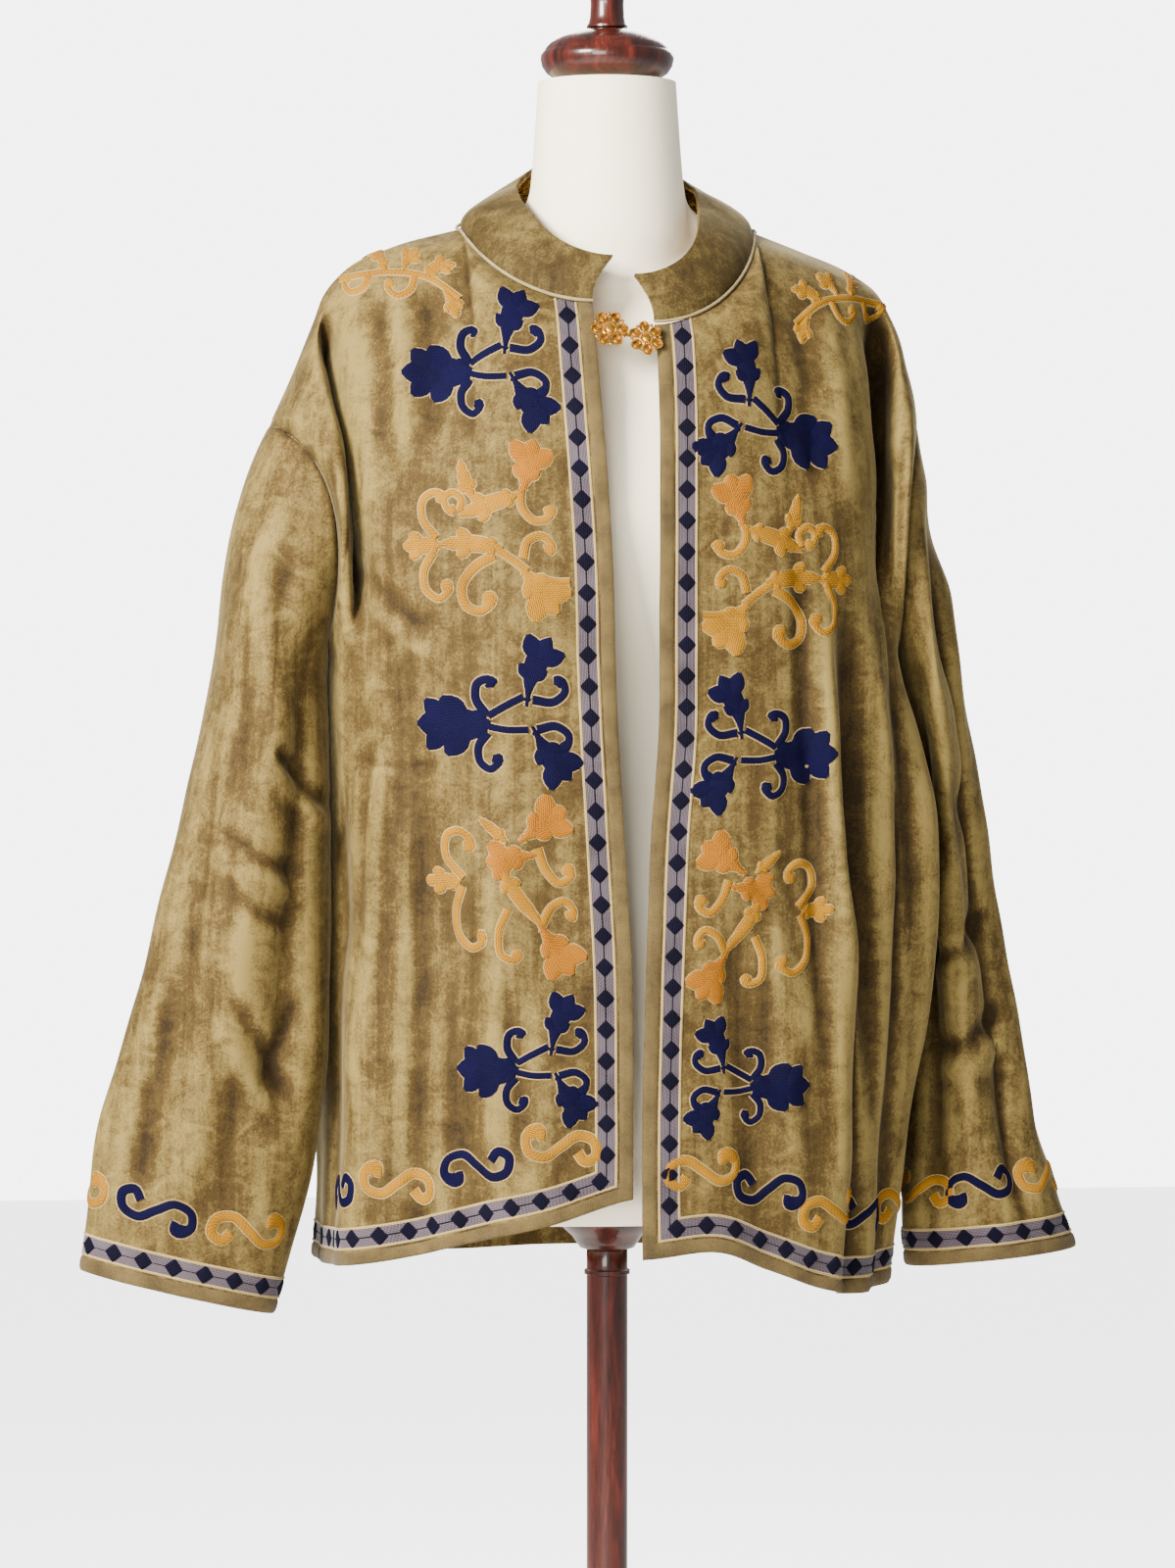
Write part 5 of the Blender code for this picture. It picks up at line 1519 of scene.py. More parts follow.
def smooth_line(points, spacing):
    """Places along a smooth curve through the points, about a spacing apart."""
    points = np.array(points, float)
    chord = np.concatenate([[0], np.cumsum(np.linalg.norm(np.diff(points, axis=0), axis=1))])
    at = np.linspace(0, chord[-1], max(6, int(chord[-1] / spacing)) + 1)
    return np.stack([through(np.stack([chord, points[:, k]], axis=1), 1, at) for k in (0, 1)], axis=1)


def half_widths(kind, share, half_width):
    """How wide a leaf, fan, stem or curl is along its middle line."""
    tip = np.sqrt(np.clip((1 - share) / 0.05, 0, 1))
    if kind == "leaf":
        return half_width * np.sin(math.pi * np.clip(share, 0.02, 0.99) ** 0.85) ** 0.7
    if kind == "fan":
        return half_width * (0.16 + 0.84 * ease(share, 0.05, 0.62)) * np.clip((1 - share) / 0.28, 0, 1) ** 0.6
    if kind == "curl":
        return half_width * (1.2 - 0.25 * share + 0.9 * bump(share, 0.93, 0.07)) * tip
    return half_width * np.ones_like(share)


def side_lobes(line, widths, lobes):
    """The rounded lobes on both sides of a leaf: a middle line and its half widths for each."""
    made = []
    way = unit(np.gradient(line, axis=0))
    side = np.stack([-way[:, 1], way[:, 0]], axis=1)
    along = np.linspace(0, 1, LOBE_STEPS)
    side_shape = np.sin(math.pi * np.clip(along, 0.12, 0.97) ** 1.1) ** 0.6
    tip_shape = np.sin(math.pi * np.clip(along, 0.2, 0.97) ** 1.1) ** 0.7
    for k in range(lobes):
        i = int((k + 0.35) / (lobes + 0.45) * (len(line) - 1))
        reach = LOBE_REACH * widths[i]
        for hand in (-1, 1):
            out = unit(side[i] * hand * 0.85 + way[i] * 0.55)
            places = line[i] + reach * (along[:, None] * out + 0.16 * along[:, None] ** 2 * way[i])
            made.append((places, LOBE_WIDTH * reach * side_shape))
    if lobes:
        i = int(0.70 * (len(line) - 1))
        reach = TIP_REACH * widths.max()
        places = line[i] + reach * along[:, None] * way[i]
        made.append((places, LOBE_WIDTH * reach * tip_shape))
    return made


def relief(chart, line, widths, height, lift):
    """A raised strip of stitches over the cloth along a line, as a closed wall with its own coordinates."""
    steps = 3 if lift == 0 else 7 if widths.max() > 3 * STITCH_HEIGHT else 5
    across = np.linspace(-1, 1, steps)
    way = unit(np.gradient(line, axis=0))
    side = np.stack([-way[:, 1], way[:, 0]], axis=1)
    widths = np.maximum(widths, LEAST_HALF_WIDTH)
    places = line[:, None] + side[:, None] * (widths[:, None] * across)[..., None]
    dome = lift + height * np.sqrt(1 - 0.92 * across**2) * np.clip(widths / 0.0014, 0.3, 1)[:, None]
    along = np.concatenate([[0], np.cumsum(np.linalg.norm(np.diff(line, axis=0), axis=1))])
    flat = np.stack(np.broadcast_arrays(widths[:, None] * across, along[:, None]), axis=2)
    return on_cloth(chart, places, dome), on_cloth(chart, places, np.full(dome.shape, -SUNK)), False, flat


def sew(threads, chart, kind, colour, half_width, lobes, points, place, size=1.0, turn=0.0):
    """One leaf, stem or curl of a motif, over its pale outline."""
    line = smooth_line(points, STITCH_SPACING * 1000) * size / 1000
    cosine, sine = math.cos(turn), math.sin(turn)
    line = line @ np.array([[cosine, sine], [-sine, cosine]]) + np.array(place)
    share = np.linspace(0, 1, len(line))
    widths = half_widths(kind, share, half_width * size / 1000)
    strips = [(line, widths * (LEAF_BODY if lobes else 1))] + side_lobes(line, widths, lobes)
    for middle, half in strips:
        threads["pale"].append(relief(chart, middle, half + HALO, HALO_HEIGHT, 0.0))
        threads[colour].append(relief(chart, middle, half, STITCH_HEIGHT, HALO_HEIGHT / 2))


def sew_motif(threads, chart, rows, place, size, turn):
    """All leaves, stems and curls of a motif."""
    for kind, colour, half_width, lobes, *points in rows:
        sew(threads, chart, kind, colour, half_width, lobes, points, place, size, turn)


def hem_height(chart, across):
    return np.interp(across, chart["hem_across"], chart["hem_height"])


def edge_path(chart, inset):
    """A line at one distance from the front edge and then from the hem, turning a mitred corner."""
    start = np.interp(inset, chart["top_across"], chart["top_height"])
    corner = hem_height(chart, inset) + inset
    down = np.linspace(start - NECK_CLEAR, corner, FRONT_EDGE_STEPS)
    out = np.linspace(0, 1, FRONT_HEM_STEPS)
    across = inset + (chart["hem_across"][-1] - SEAM_CLEAR - inset) * out
    front = np.stack([np.full(len(down), inset), down], axis=1)
    return np.concatenate([front, np.stack([across, hem_height(chart, across) + inset], axis=1)[1:]])


def hem_path(chart, inset):
    """A line at one distance from the hem, from seam to seam."""
    across = np.linspace(SEAM_CLEAR, chart["hem_across"][-1] - SEAM_CLEAR, BACK_HEM_STEPS)
    return np.stack([across, hem_height(chart, across) + inset], axis=1)


def cuff_path(chart, inset):
    """A line at one distance from the cuff, all the way round."""
    across = np.linspace(chart["start"], chart["half_round"], CUFF_STEPS)
    return np.stack([across, np.full(CUFF_STEPS, inset)], axis=1)


def tape(chart, path_a, path_b, steps, height, round_over):
    """A flat strip between two lines on the cloth, as a closed wall with its own coordinates."""
    share = np.linspace(0, 1, steps)
    places = path_a[:, None] * (1 - share[:, None]) + path_b[:, None] * share[:, None]
    top = height * (1 - round_over * (2 * share - 1) ** 4) * np.ones((len(path_a), 1))
    along = np.concatenate([[0], np.cumsum(np.linalg.norm(np.diff(path_a, axis=0), axis=1))])
    width = np.linalg.norm(path_b - path_a, axis=1).mean()
    flat = np.stack(np.broadcast_arrays(width * share, along[:, None]), axis=2)
    return on_cloth(chart, places, top), on_cloth(chart, places, np.full(top.shape, -SUNK)), False, flat


def along_path(path, pitch, start):
    """Places every pitch along a path."""
    run = np.concatenate([[0], np.cumsum(np.linalg.norm(np.diff(path, axis=0), axis=1))])
    at = np.arange(start, run[-1] - pitch * 0.3, pitch)
    return np.stack([np.interp(at, run, path[:, k]) for k in (0, 1)], axis=1)


def sew_band(threads, chart, path):
    """The border band: lilac ground between two cream lines, a thin dark line, and diamonds on it."""
    low, high = BAND_INSET - BAND_HALF_WIDTH, BAND_INSET + BAND_HALF_WIDTH
    tapes = (
        ("lilac", BAND_INSET, BAND_HALF_WIDTH, 5, GROUND_HEIGHT, 0.5),
        ("cream", low, LINE_HALF_WIDTH, 4, LINE_HEIGHT, 0.9),
        ("cream", high, LINE_HALF_WIDTH, 4, LINE_HEIGHT, 0.9),
        ("ink", BAND_INSET, DARK_LINE_HALF_WIDTH, 3, DARK_LINE_HEIGHT, 0.9),
    )
    for colour, middle, half_width, steps, height, round_over in tapes:
        edges = path(chart, middle - half_width), path(chart, middle + half_width)
        threads[colour].append(tape(chart, *edges, steps, height, round_over))
    share = np.linspace(0, 1, DIAMOND_STEPS)
    widths = DIAMOND_HALF * (1 - np.abs(2 * share - 1)) ** 0.85
    for place in along_path(path(chart, BAND_INSET), DIAMOND_PITCH, DIAMOND_PITCH / 2):
        line = place + np.stack([np.zeros(DIAMOND_STEPS), (share - 0.5) * 2 * DIAMOND_HALF], axis=1)
        threads["ink"].append(relief(chart, line, widths, LINE_HEIGHT, GROUND_HEIGHT))


def sew_scrolls(threads, chart, places):
    """A row of lying S scrolls, gold and navy by turns."""
    for i, place in enumerate(places):
        colour, flip = ("gold", 1) if i % 2 == 0 else ("navy", -1)
        points = [(x, y * flip) for x, y in SCROLL]
        sew(threads, chart, "curl", colour, SCROLL_HALF_WIDTH, 0, points, place)


def sew_binding(chart, path, name, node_name, material):
    """The bound edge along a border, which stands for its solid."""
    edges = path(chart, BINDING_INSET), path(chart, BINDING_WIDTH)
    walls = [tape(chart, *edges, BINDING_STEPS, BINDING_HEIGHT, BINDING_ROUND)]
    binding = joined_walls(name, walls, material)
    stands_for(binding, node_name, "piping")
    return binding


def new_threads():
    return {colour: [] for colour in THREADS}


def finish_threads(name, threads, materials):
    """One piece for each colour of thread on a panel."""
    pieces = []
    for colour, walls in threads.items():
        if walls:
            pieces.append(joined_walls(f"{name}_{colour}_stitching", walls, materials[colour]))
    return pieces


def embroider_fronts(panels, materials):
    """The border bands, the motifs and the bound edges of both fronts."""
    pieces = {}
    for side in ("right", "left"):
        name = "front_" + side
        grid, normals = panels[name]["grid"], panels[name]["normals"]
        if side == "right":
            grid, normals = grid[:, ::-1], normals[:, ::-1]
        chart = level_chart(grid, normals)
        threads = new_threads()
        sew_band(threads, chart, edge_path)
        for rows, across, height, size, turn in FRONT_MOTIFS[side]:
            sew_motif(threads, chart, rows, (across, height), size, turn)
        start, pitch, rise = HEM_SCROLLS[side]
        across = np.arange(start, chart["hem_across"][-1] - HEM_SCROLLS_END, pitch)
        sew_scrolls(threads, chart, np.stack([across, hem_height(chart, across) + rise], axis=1))
        pieces[name] = finish_threads(name, threads, materials)
        names = "binding_strip_" + side, "binding_" + side
        pieces[name].append(sew_binding(chart, edge_path, *names, materials["edge"]))
    return pieces


def embroider_back(panels, materials):
    """The border band and the bound hem go on across the back."""
    chart = level_chart(panels["back"]["grid"], panels["back"]["normals"])
    threads = new_threads()
    sew_band(threads, chart, hem_path)
    pieces = finish_threads("back", threads, materials)
    binding = sew_binding(chart, hem_path, "binding_strip_back", "binding_back", materials["edge"])
    return {"back": pieces + [binding]}


def embroider_sleeves(panels, materials):
    """The border band, the bound edge and a row of scrolls at each cuff."""
    pieces = {}
    for side in ("right", "left"):
        name = "sleeve_" + side
        grid, normals = panels[name]["grid"], panels[name]["normals"]
        if side == "right":
            grid, normals = grid[:, ::-1], normals[:, ::-1]
        chart = cuff_chart(grid, normals, CUFF_REACH)
        threads = new_threads()
        sew_band(threads, chart, cuff_path)
        sew_scrolls(threads, chart, [(across, CUFF_SCROLL_RISE) for across in CUFF_SCROLLS[side]])
        pieces[name] = finish_threads(name, threads, materials)
        names = "cuff_strip_" + side, "cuff_binding_" + side
        pieces[name].append(sew_binding(chart, cuff_path, *names, materials["edge"]))
    return pieces


def form_ring(angle, half_width, front, back, neck):
    """Points of a ring of the dress form: a rounded body ring that flows into the round neck."""
    c, s = np.cos(angle), np.sin(angle)
    depth = np.where(s > 0, back, front)
    body = np.abs(c / half_width) ** FORM_SQUARENESS + np.abs(s / depth) ** FORM_SQUARENESS
    body = body ** (-1 / FORM_SQUARENESS)
    radius = (body**FORM_BLEND + neck**FORM_BLEND) ** (1 / FORM_BLEND)
    return radius * c, radius * s


def make_form(materials):
    """The dress form as one smooth closed body."""
    angle = 2 * math.pi * np.arange(FORM_COLUMNS) / FORM_COLUMNS
    stations = np.linspace(0, 1, len(FORM_RINGS))
    heights = np.interp(np.linspace(0, 1, FORM_ROWS), stations, [ring[0] for ring in FORM_RINGS])
    rings = []
    for z in heights:
        half_width, front, back, neck = (float(through(FORM_RINGS, column, z)) for column in range(1, 5))
        slim = FORM_SLIMMER * (1 - ease(z, *FORM_SLIMMER_END))
        xs, ys = form_ring(angle, half_width - slim, front - slim, back - slim, max(neck, 0.0))
        rings.append(np.stack([xs, ys, np.full(FORM_COLUMNS, z)], axis=1))
    points = np.concatenate(rings)
    faces = []
    for r in range(FORM_ROWS - 1):
        for c in range(FORM_COLUMNS):
            low, high, after = r * FORM_COLUMNS, (r + 1) * FORM_COLUMNS, (c + 1) % FORM_COLUMNS
            faces.append([low + c, low + after, high + after, high + c])
    faces.append(list(reversed(range(FORM_COLUMNS))))
    faces.append([(FORM_ROWS - 1) * FORM_COLUMNS + c for c in range(FORM_COLUMNS)])
    mesh = bpy.data.meshes.new("form_body")
    mesh.from_pydata(points.tolist(), [], faces)
    mesh.materials.append(materials["jersey"])
    mesh.shade_smooth()
    mesh.set_sharp_from_angle(angle=FORM_SHARP)
    piece = bpy.data.objects.new("form_body", mesh)
    bpy.context.scene.collection.objects.link(piece)
    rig.ride(piece, "root")
    stands_for(piece, "form_torso", "form_jersey")


TURNED_STEPS = 96
TOUCH_GAP = 0.0003
HARD_SHARP = math.radians(38)

# The pole: its radius, the end's and the rings' radius as shares of it, the end's height, the places of
# the rings as shares of its length, and the steps of a ring: share of the radius, height
POLE_RADIUS = 0.014
POLE_END = 0.96
POLE_END_HEIGHT = 0.001
POLE_RINGS = (0.02, 0.97)
POLE_RING = ((1, 0), (1.12, 0.0008), (1.12, 0.0034), (1, 0.0042))

# Turned profiles: radius, height above the piece's foot
CAP_PROFILE = (
    (0.026, 0.0003), (0.031, 0.0010), (0.0365, 0.0030), (0.0415, 0.0065), (0.0445, 0.0110),
    (0.0455, 0.0155), (0.0452, 0.0185), (0.0438, 0.0205), (0.0430, 0.0212), (0.0425, 0.0225),
    (0.0400, 0.0258), (0.0340, 0.0300), (0.0260, 0.0335), (0.0190, 0.0352), (0.0120, 0.0359),
)
FINIAL_PROFILE = (
    (0.0125, 0.0363), (0.0140, 0.0372), (0.0140, 0.0385), (0.0128, 0.0400), (0.0118, 0.0440),
    (0.0113, 0.0520), (0.0115, 0.0590), (0.0128, 0.0630), (0.0145, 0.0645), (0.0145, 0.0660),
    (0.0140, 0.0672), (0.0165, 0.0710), (0.0186, 0.0770), (0.0189, 0.0830), (0.0178, 0.0890),
    (0.0152, 0.0950), (0.0110, 0.0996), (0.0060, 0.1022),
)
BASE_PROFILE = (
    (0.1840, 0.0000), (0.1870, 0.0006), (0.1892, 0.0022), (0.1900, 0.0045), (0.1900, 0.0130),
    (0.1890, 0.0150), (0.1868, 0.0164), (0.1850, 0.0168), (0.1842, 0.0180), (0.1820, 0.0200),
    (0.1780, 0.0214), (0.1700, 0.0219), (0.0400, 0.0220),
)
BOSS_PROFILE = (
    (0.0290, 0.0000), (0.0300, 0.0010), (0.0300, 0.0080), (0.0288, 0.0100), (0.0262, 0.0120),
    (0.0240, 0.0160), (0.0222, 0.0215), (0.0216, 0.0260), (0.0210, 0.0280), (0.0212, 0.0310),
    (0.0208, 0.0360), (0.0190, 0.0398), (0.0150, 0.0400),
)
SOCKET_PROFILE = (
    (0.0170, 0.0000), (0.0187, 0.0006), (0.0210, 0.0040), (0.0240, 0.0085), (0.0262, 0.0105),
    (0.0300, 0.0140), (0.0330, 0.0175), (0.0340, 0.0195), (0.0340, 0.0232), (0.0334, 0.0240),
)


def start_clean():
    bpy.ops.object.select_all(action="DESELECT")


def turned_piece(name, node_name, profile, foot, material):
    """A turned piece: a round is extruded upwards and widened or narrowed at each step of its profile."""
    start_clean()
    radius, height = profile[0]
    place = (0, 0, foot + height)
    bpy.ops.mesh.primitive_circle_add(vertices=TURNED_STEPS, radius=radius, fill_type="NGON", location=place)
    piece = bpy.context.object
    piece.name = name
    bpy.ops.object.mode_set(mode="EDIT")
    bpy.ops.mesh.select_all(action="SELECT")
    for (r0, h0), (r1, h1) in zip(profile, profile[1:]):
        bpy.ops.mesh.extrude_region_move(TRANSFORM_OT_translate={"value": (0, 0, h1 - h0)})
        bpy.ops.transform.resize(value=(r1 / r0, r1 / r0, 1), center_override=(0, 0, foot + h1))
    bpy.ops.mesh.select_all(action="SELECT")
    bpy.ops.mesh.normals_make_consistent(inside=False)
    bpy.ops.object.mode_set(mode="OBJECT")
    finish_hard(piece, node_name, material, "dark_wood")


def finish_hard(piece, node_name, material, slot):
    """Puts the place into the mesh, smooths the round faces, and lets the piece stand for its solid."""
    start_clean()
    piece.select_set(True)
    bpy.context.view_layer.objects.active = piece
    bpy.ops.object.transform_apply(location=True, rotation=True, scale=True)
    bpy.ops.object.shade_smooth_by_angle(angle=HARD_SHARP)
    piece.data.materials.clear()
    piece.data.materials.append(material)
    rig.ride(piece, "root")
    stands_for(piece, node_name, slot)


def make_stand(materials):
    """The neck cap and finial above the form, and the socket, pole, boss and foot below it."""
    wood = materials["wood"]
    neck_top, form_foot = FORM_RINGS[-1][0], FORM_RINGS[0][0]
    turned_piece("turned_cap", "neck_cap", CAP_PROFILE, neck_top, wood)
    turned_piece("turned_finial", "finial", FINIAL_PROFILE, neck_top, wood)
    turned_piece("turned_foot", "stand_base", BASE_PROFILE, 0, wood)
    boss_foot = BASE_PROFILE[-1][1] + TOUCH_GAP
    turned_piece("turned_boss", "stand_boss", BOSS_PROFILE, boss_foot, wood)
    socket_foot = form_foot - TOUCH_GAP - SOCKET_PROFILE[-1][1]
    turned_piece("turned_socket", "form_socket", SOCKET_PROFILE, socket_foot, wood)
    pole_foot = boss_foot + BOSS_PROFILE[-1][1] + TOUCH_GAP
    length = socket_foot - TOUCH_GAP - pole_foot
    profile = [(POLE_RADIUS * POLE_END, 0), (POLE_RADIUS, POLE_END_HEIGHT)]
    for share in POLE_RINGS:
        profile += [(POLE_RADIUS * wide, share * length + up) for wide, up in POLE_RING]
    profile += [(POLE_RADIUS, length - POLE_END_HEIGHT), (POLE_RADIUS * POLE_END, length)]
    turned_piece("turned_pole", "stand_pole", profile, pole_foot, wood)


# Clasp flowers: middle x and z, back y, petal reach, turn
CLASP_FLOWERS = {
    "clasp_right": (-0.0119, 1.2850, -0.1049, 0.0128, 0.00),
    "clasp_left": (0.0124, 1.2790, -0.1057, 0.0119, 0.60),
}
CLASP_SLOPE = 0.56
CLASP_LIFT = 0.0005
PETALS = 6
HEART_GRAINS = 16

# Petal and heart, in shares of the reach: corners, radius, place, stretch, rise, and the steps inwards
# and upwards
PETAL_STEPS = ((0.035, 0.06), (0.05, 0), (0.045, -0.10), (0.05, 0.02), (0.03, 0.11), (0.02, 0.03))
HEART_STEPS = ((0.04, 0.03), (0.12, 0), (0.03, 0.06), (0.05, 0.05), (0.06, 0.03), (0.06, 0.01))
PETAL = (20, 0.30, 0.66, 1.12, 0.16, PETAL_STEPS)
HEART = (32, 0.42, 0.0, 1.0, 0.18, HEART_STEPS)

# Grains, in shares of the reach: radius, and places along the way they are turned to
GRAINS_BETWEEN = (0.105, [(0.80, 0, 0.13)])
GRAINS_ROUND_HEART = (0.055, [(0.315, 0, 0.22)])
RIM_ANGLES = 0.42 * np.arange(-4, 5)
GRAINS_ON_RIM = (0.038, [(0.66 + 0.30 * math.cos(a), 0.27 * math.sin(a), 0.20) for a in RIM_ANGLES])

HOOK_ENDS = ((-0.0055, -0.1048, 1.2822), (0.0065, -0.1029, 1.2802))
HOOK_THICKNESS = 0.0010
HOOK_WIDTH = 0.0024
HOOK_ROUND = 0.0003


def raised_round(reach, corners, radius, middle, stretch, rise, steps):
    """A round plate raised from its foot and stepped inwards, as a cupped petal or a domed heart."""
    start_clean()
    place = (reach * middle, 0, 0)
    radius = reach * radius
    bpy.ops.mesh.primitive_circle_add(vertices=corners, radius=radius, fill_type="NGON", location=place)
    piece = bpy.context.object
    bpy.ops.object.mode_set(mode="EDIT")
    bpy.ops.mesh.select_all(action="SELECT")
    bpy.ops.transform.resize(value=(stretch, 1, 1), center_override=place)
    bpy.ops.mesh.extrude_region_move(TRANSFORM_OT_translate={"value": (0, 0, reach * rise)})
    for inward, up in steps:
        bpy.ops.mesh.inset(thickness=reach * inward, depth=reach * up)
    bpy.ops.mesh.select_all(action="SELECT")
    bpy.ops.mesh.normals_make_consistent(inside=False)
    bpy.ops.object.mode_set(mode="OBJECT")
    return piece


def grain(radius):
    """A small solder grain with a flat foot."""
    start_clean()
    bpy.ops.mesh.primitive_ico_sphere_add(subdivisions=2, radius=radius, location=(0, 0, 0))
    piece = bpy.context.object
    bpy.ops.object.mode_set(mode="EDIT")
    bpy.ops.mesh.select_all(action="SELECT")
    plane = (0, 0, -radius * 0.45)
    bpy.ops.mesh.bisect(plane_co=plane, plane_no=(0, 0, -1), use_fill=True, clear_outer=True)
    bpy.ops.object.mode_set(mode="OBJECT")
    return piece


def copies(piece, matrices):
    """Copies of a piece's mesh, each with its own place, as separate objects; the piece itself is removed."""
    made = []
    for matrix in matrices:
        mesh = piece.data.copy()
        mesh.transform(matrix @ Matrix.Translation(piece.location))
        copy = bpy.data.objects.new(piece.name + "_copy", mesh)
        bpy.context.scene.collection.objects.link(copy)
        made.append(copy)
    bpy.data.objects.remove(piece)
    return made


def grains(reach, ways, size, places):
    """Grains at the same places along each of the ways."""
    spots = [way @ Matrix.Translation([reach * share for share in place]) for way in ways for place in places]
    return copies(grain(reach * size), spots)


def turned_ways(count, start):
    """Turns about the flower's middle, evenly spaced."""
    return [Matrix.Rotation(start + i * 2 * math.pi / count, 4, "Z") for i in range(count)]


def clasp_flower(name, materials):
    """A gilt flower: six cupped petals, grains between and on them, and a domed heart ringed with grains."""
    centre_x, centre_z, back_y, reach, tilt = CLASP_FLOWERS[name]
    petals = turned_ways(PETALS, tilt)
    parts = copies(raised_round(reach, *PETAL), petals)
    parts += grains(reach, turned_ways(PETALS, tilt + math.pi / PETALS), *GRAINS_BETWEEN)
    parts += grains(reach, turned_ways(HEART_GRAINS, 0), *GRAINS_ROUND_HEART)
    parts += grains(reach, petals, *GRAINS_ON_RIM)
    heart = raised_round(reach, *HEART)
    start_clean()
    for part in parts + [heart]:
        part.select_set(True)
    bpy.context.view_layer.objects.active = heart
    bpy.ops.object.join()
    heart.name = name + "_flower"
    place = centre_x, back_y - CLASP_LIFT, centre_z
    lying = Matrix(((1, 0, 0), (0, CLASP_SLOPE, -1), (0, 1, 0))).to_4x4()
    heart.data.transform(Matrix.Translation(place) @ lying)
    finish_hard(heart, name, materials["gilt"], "gilt")


def clasp_hook(materials):
    """The flat hook between the flowers: a rounded bar."""
    start_clean()
    a, b = (np.array(end) for end in HOOK_ENDS)
    way = b - a
    bpy.ops.mesh.primitive_cube_add(size=1, location=tuple((a + b) / 2))
    hook = bpy.context.object
    hook.name = "hook_bar"
    hook.scale = (float(np.linalg.norm(way)), HOOK_THICKNESS, HOOK_WIDTH)
    hook.rotation_euler = (0, -math.atan2(way[2], way[0]), math.atan2(way[1], way[0]))
    bpy.ops.object.transform_apply(location=True, rotation=True, scale=True)
    bpy.ops.object.mode_set(mode="EDIT")
    bpy.ops.mesh.select_all(action="SELECT")
    bpy.ops.mesh.subdivide(number_cuts=3)
    bpy.ops.object.mode_set(mode="OBJECT")
    bevel = hook.modifiers.new("rounded", "BEVEL")
    bevel.width = HOOK_ROUND
    bevel.segments = 3
    bpy.ops.object.modifier_apply(modifier="rounded")
    finish_hard(hook, "clasp_hook", materials["gilt"], "gilt")


ROLL_RADIUS = 0.0011
ROLL_CORE = 0.4
ROLL_STAND_OFF = 0.0014
ROLL_STEPS = 10


def make_neck_roll(panels, materials):
    """The thin piped roll on the seam between the collar and the neck."""
    collar = collar_grid(COLLAR_HEIGHT)
    line, normals = collar[0], collar_normals(collar)[0]
    names = ("front_right", "front_left", "back")
    tops = np.concatenate([panels[name]["grid"][0] for name in names])
    outs = np.concatenate([panels[name]["normals"][0] for name in names])
    nearest = [np.argmin(np.linalg.norm(tops - point, axis=1)) for point in line]
    out = unit(normals + outs[nearest])
    middle = line + out * (ROLL_RADIUS + ROLL_STAND_OFF)
    side = np.cross(unit(np.gradient(middle, axis=0)), out)
    turn = 2 * math.pi * np.arange(ROLL_STEPS + 1) / ROLL_STEPS
    ring = np.cos(turn)[:, None] * out[:, None] + np.sin(turn)[:, None] * side[:, None]
    skin = (middle[:, None] + ROLL_RADIUS * ring)[:, :-1]
    core = (middle[:, None] + ROLL_RADIUS * ROLL_CORE * ring)[:, :-1]
    flat = flat_measure(skin, True)
    roll = joined_walls("neck_seam_roll", [(skin, core, True, flat)], materials["piping"])
    stands_for(roll, "neck_piping", "piping")
    return roll


def make_camera():
    """The photograph's view: a long lens a little to the wearer's right of straight ahead."""
    azimuth, elevation = math.radians(VIEW_AZIMUTH), math.radians(VIEW_ELEVATION)
    level = math.cos(elevation)
    away = (math.sin(azimuth) * level, -math.cos(azimuth) * level, math.sin(elevation))
    data = bpy.data.cameras.new("photograph_view")
    data.sensor_fit = "VERTICAL"
    data.sensor_height = SENSOR_HEIGHT
    data.lens = data.sensor_height * VIEW_DISTANCE / VIEW_HEIGHT
    camera = bpy.data.objects.new("photograph_view", data)
    camera.location = [m + VIEW_DISTANCE * a for m, a in zip(VIEW_MIDDLE, away)]
    camera.rotation_euler = (math.pi / 2 - elevation, 0, azimuth)
    bpy.context.scene.collection.objects.link(camera)
    bpy.context.scene.camera = camera


def add_light(name, place, size, power, colour):
    """A square soft light that points at the jacket."""
    data = bpy.data.lights.new(name, "AREA")
    data.size = size
    data.energy = power
    data.color = colour
    light = bpy.data.objects.new(name, data)
    light.location = place
    way = np.array(LIGHT_AIM) - np.array(place)
    tilt = math.acos(-way[2] / np.linalg.norm(way))
    light.rotation_euler = (tilt, 0, math.atan2(way[1], way[0]) - math.pi / 2)
    bpy.context.scene.collection.objects.link(light)


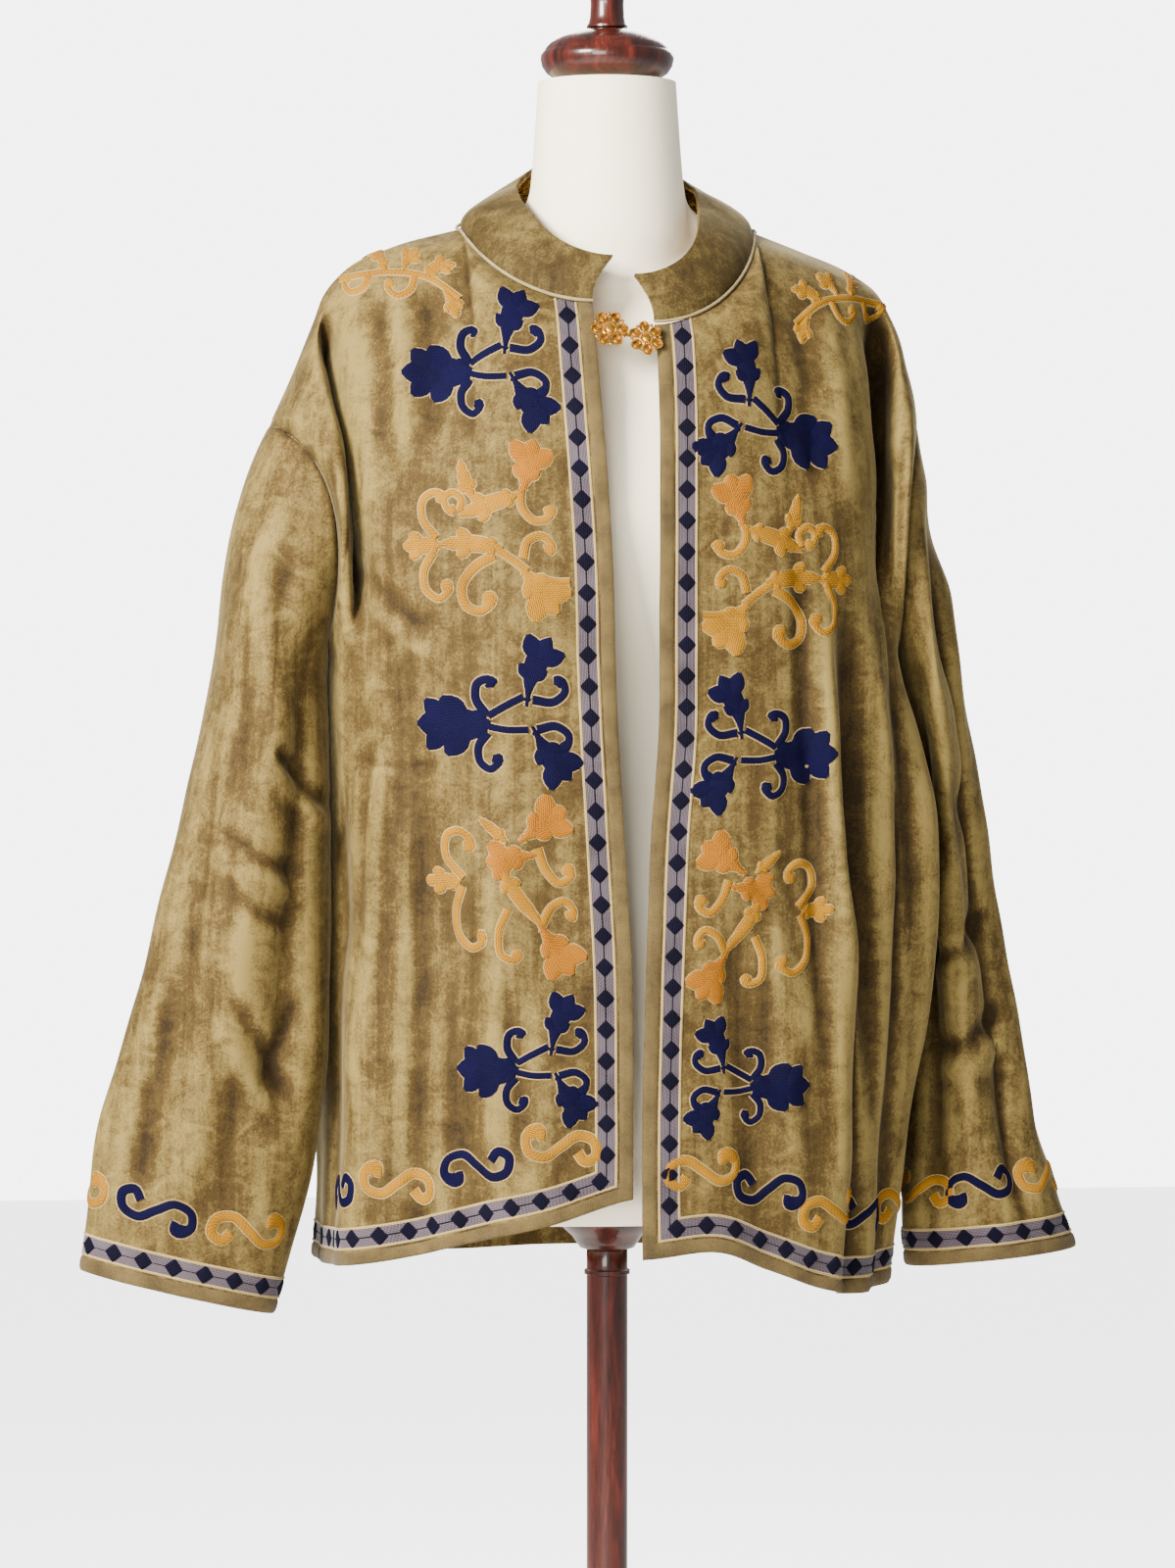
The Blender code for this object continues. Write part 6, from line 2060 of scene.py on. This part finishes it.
def make_studio():
    """Plain pale floor and surroundings, and soft studio light."""
    start_clean()
    bpy.ops.mesh.primitive_grid_add(x_subdivisions=4, y_subdivisions=4, size=FLOOR_SIZE, location=(0, 0, 0))
    floor = bpy.context.object
    floor.name = "floor"
    floor.data.materials.append(pale_floor())
    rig.stage(floor)
    world = bpy.data.worlds.new("studio")
    world.use_nodes = True
    background = world.node_tree.nodes["Background"]
    background.inputs["Color"].default_value = WORLD_COLOUR
    seen = node(world.node_tree, "ShaderNodeLightPath").outputs["Is Camera Ray"]
    strength = arithmetic(world.node_tree, "MULTIPLY_ADD", seen, WORLD_SEEN - WORLD_LIGHT, WORLD_LIGHT)
    world.node_tree.links.new(strength, background.inputs["Strength"])
    bpy.context.scene.world = world
    for row in LIGHTS:
        add_light(*row)


def one_sided_area(grid, closed):
    """The area of one face of a cloth."""
    if closed:
        grid = np.concatenate([grid, grid[:, :1]], axis=1)
    diagonals = grid[1:, 1:] - grid[:-1, :-1], grid[1:, :-1] - grid[:-1, 1:]
    return float(np.linalg.norm(np.cross(*diagonals), axis=2).sum() / 2)


def declare_sheet(piece, grid, closed, rests_on, with_pieces):
    """Says that a piece is a sheet of cloth and how large its cut is, measured along the cloth."""
    flat = flat_measure(grid, closed)
    width, length = (float(np.ptp(flat[..., axis])) for axis in (0, 1))
    area = one_sided_area(grid, closed)
    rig.sheet(piece, (width, length), "hung", rests_on, area, with_pieces)


def declare_sheets(panels, pieces, sewn, collar, facing, roll):
    """Every cloth piece of the jacket, with what is sewn on it."""
    for name, piece in pieces.items():
        declare_sheet(piece, panels[name]["grid"], panels[name]["closed"], ["form_body"], sewn[name])
    grid = collar_grid(COLLAR_HEIGHT)
    declare_sheet(collar, grid, False, ["back_velvet"], [roll])
    declare_sheet(facing, grid, False, ["collar_velvet"], [])


def main():
    make_camera()
    make_studio()
    materials = make_materials()
    panels = body_panels()
    pieces = make_panels(panels, materials)
    sewn = {}
    for embroider in (embroider_fronts, embroider_back, embroider_sleeves):
        sewn.update(embroider(panels, materials))
    collar, facing = make_collar(materials)
    roll = make_neck_roll(panels, materials)
    declare_sheets(panels, pieces, sewn, collar, facing, roll)
    make_form(materials)
    make_stand(materials)
    clasp_flower("clasp_right", materials)
    clasp_flower("clasp_left", materials)
    clasp_hook(materials)


main()
with open("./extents.json", "w") as size_file:
    json.dump({"cad": [list(map(float, v)) for v in cad_box], "visual": [list(map(float, v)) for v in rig.bounds()]}, size_file)
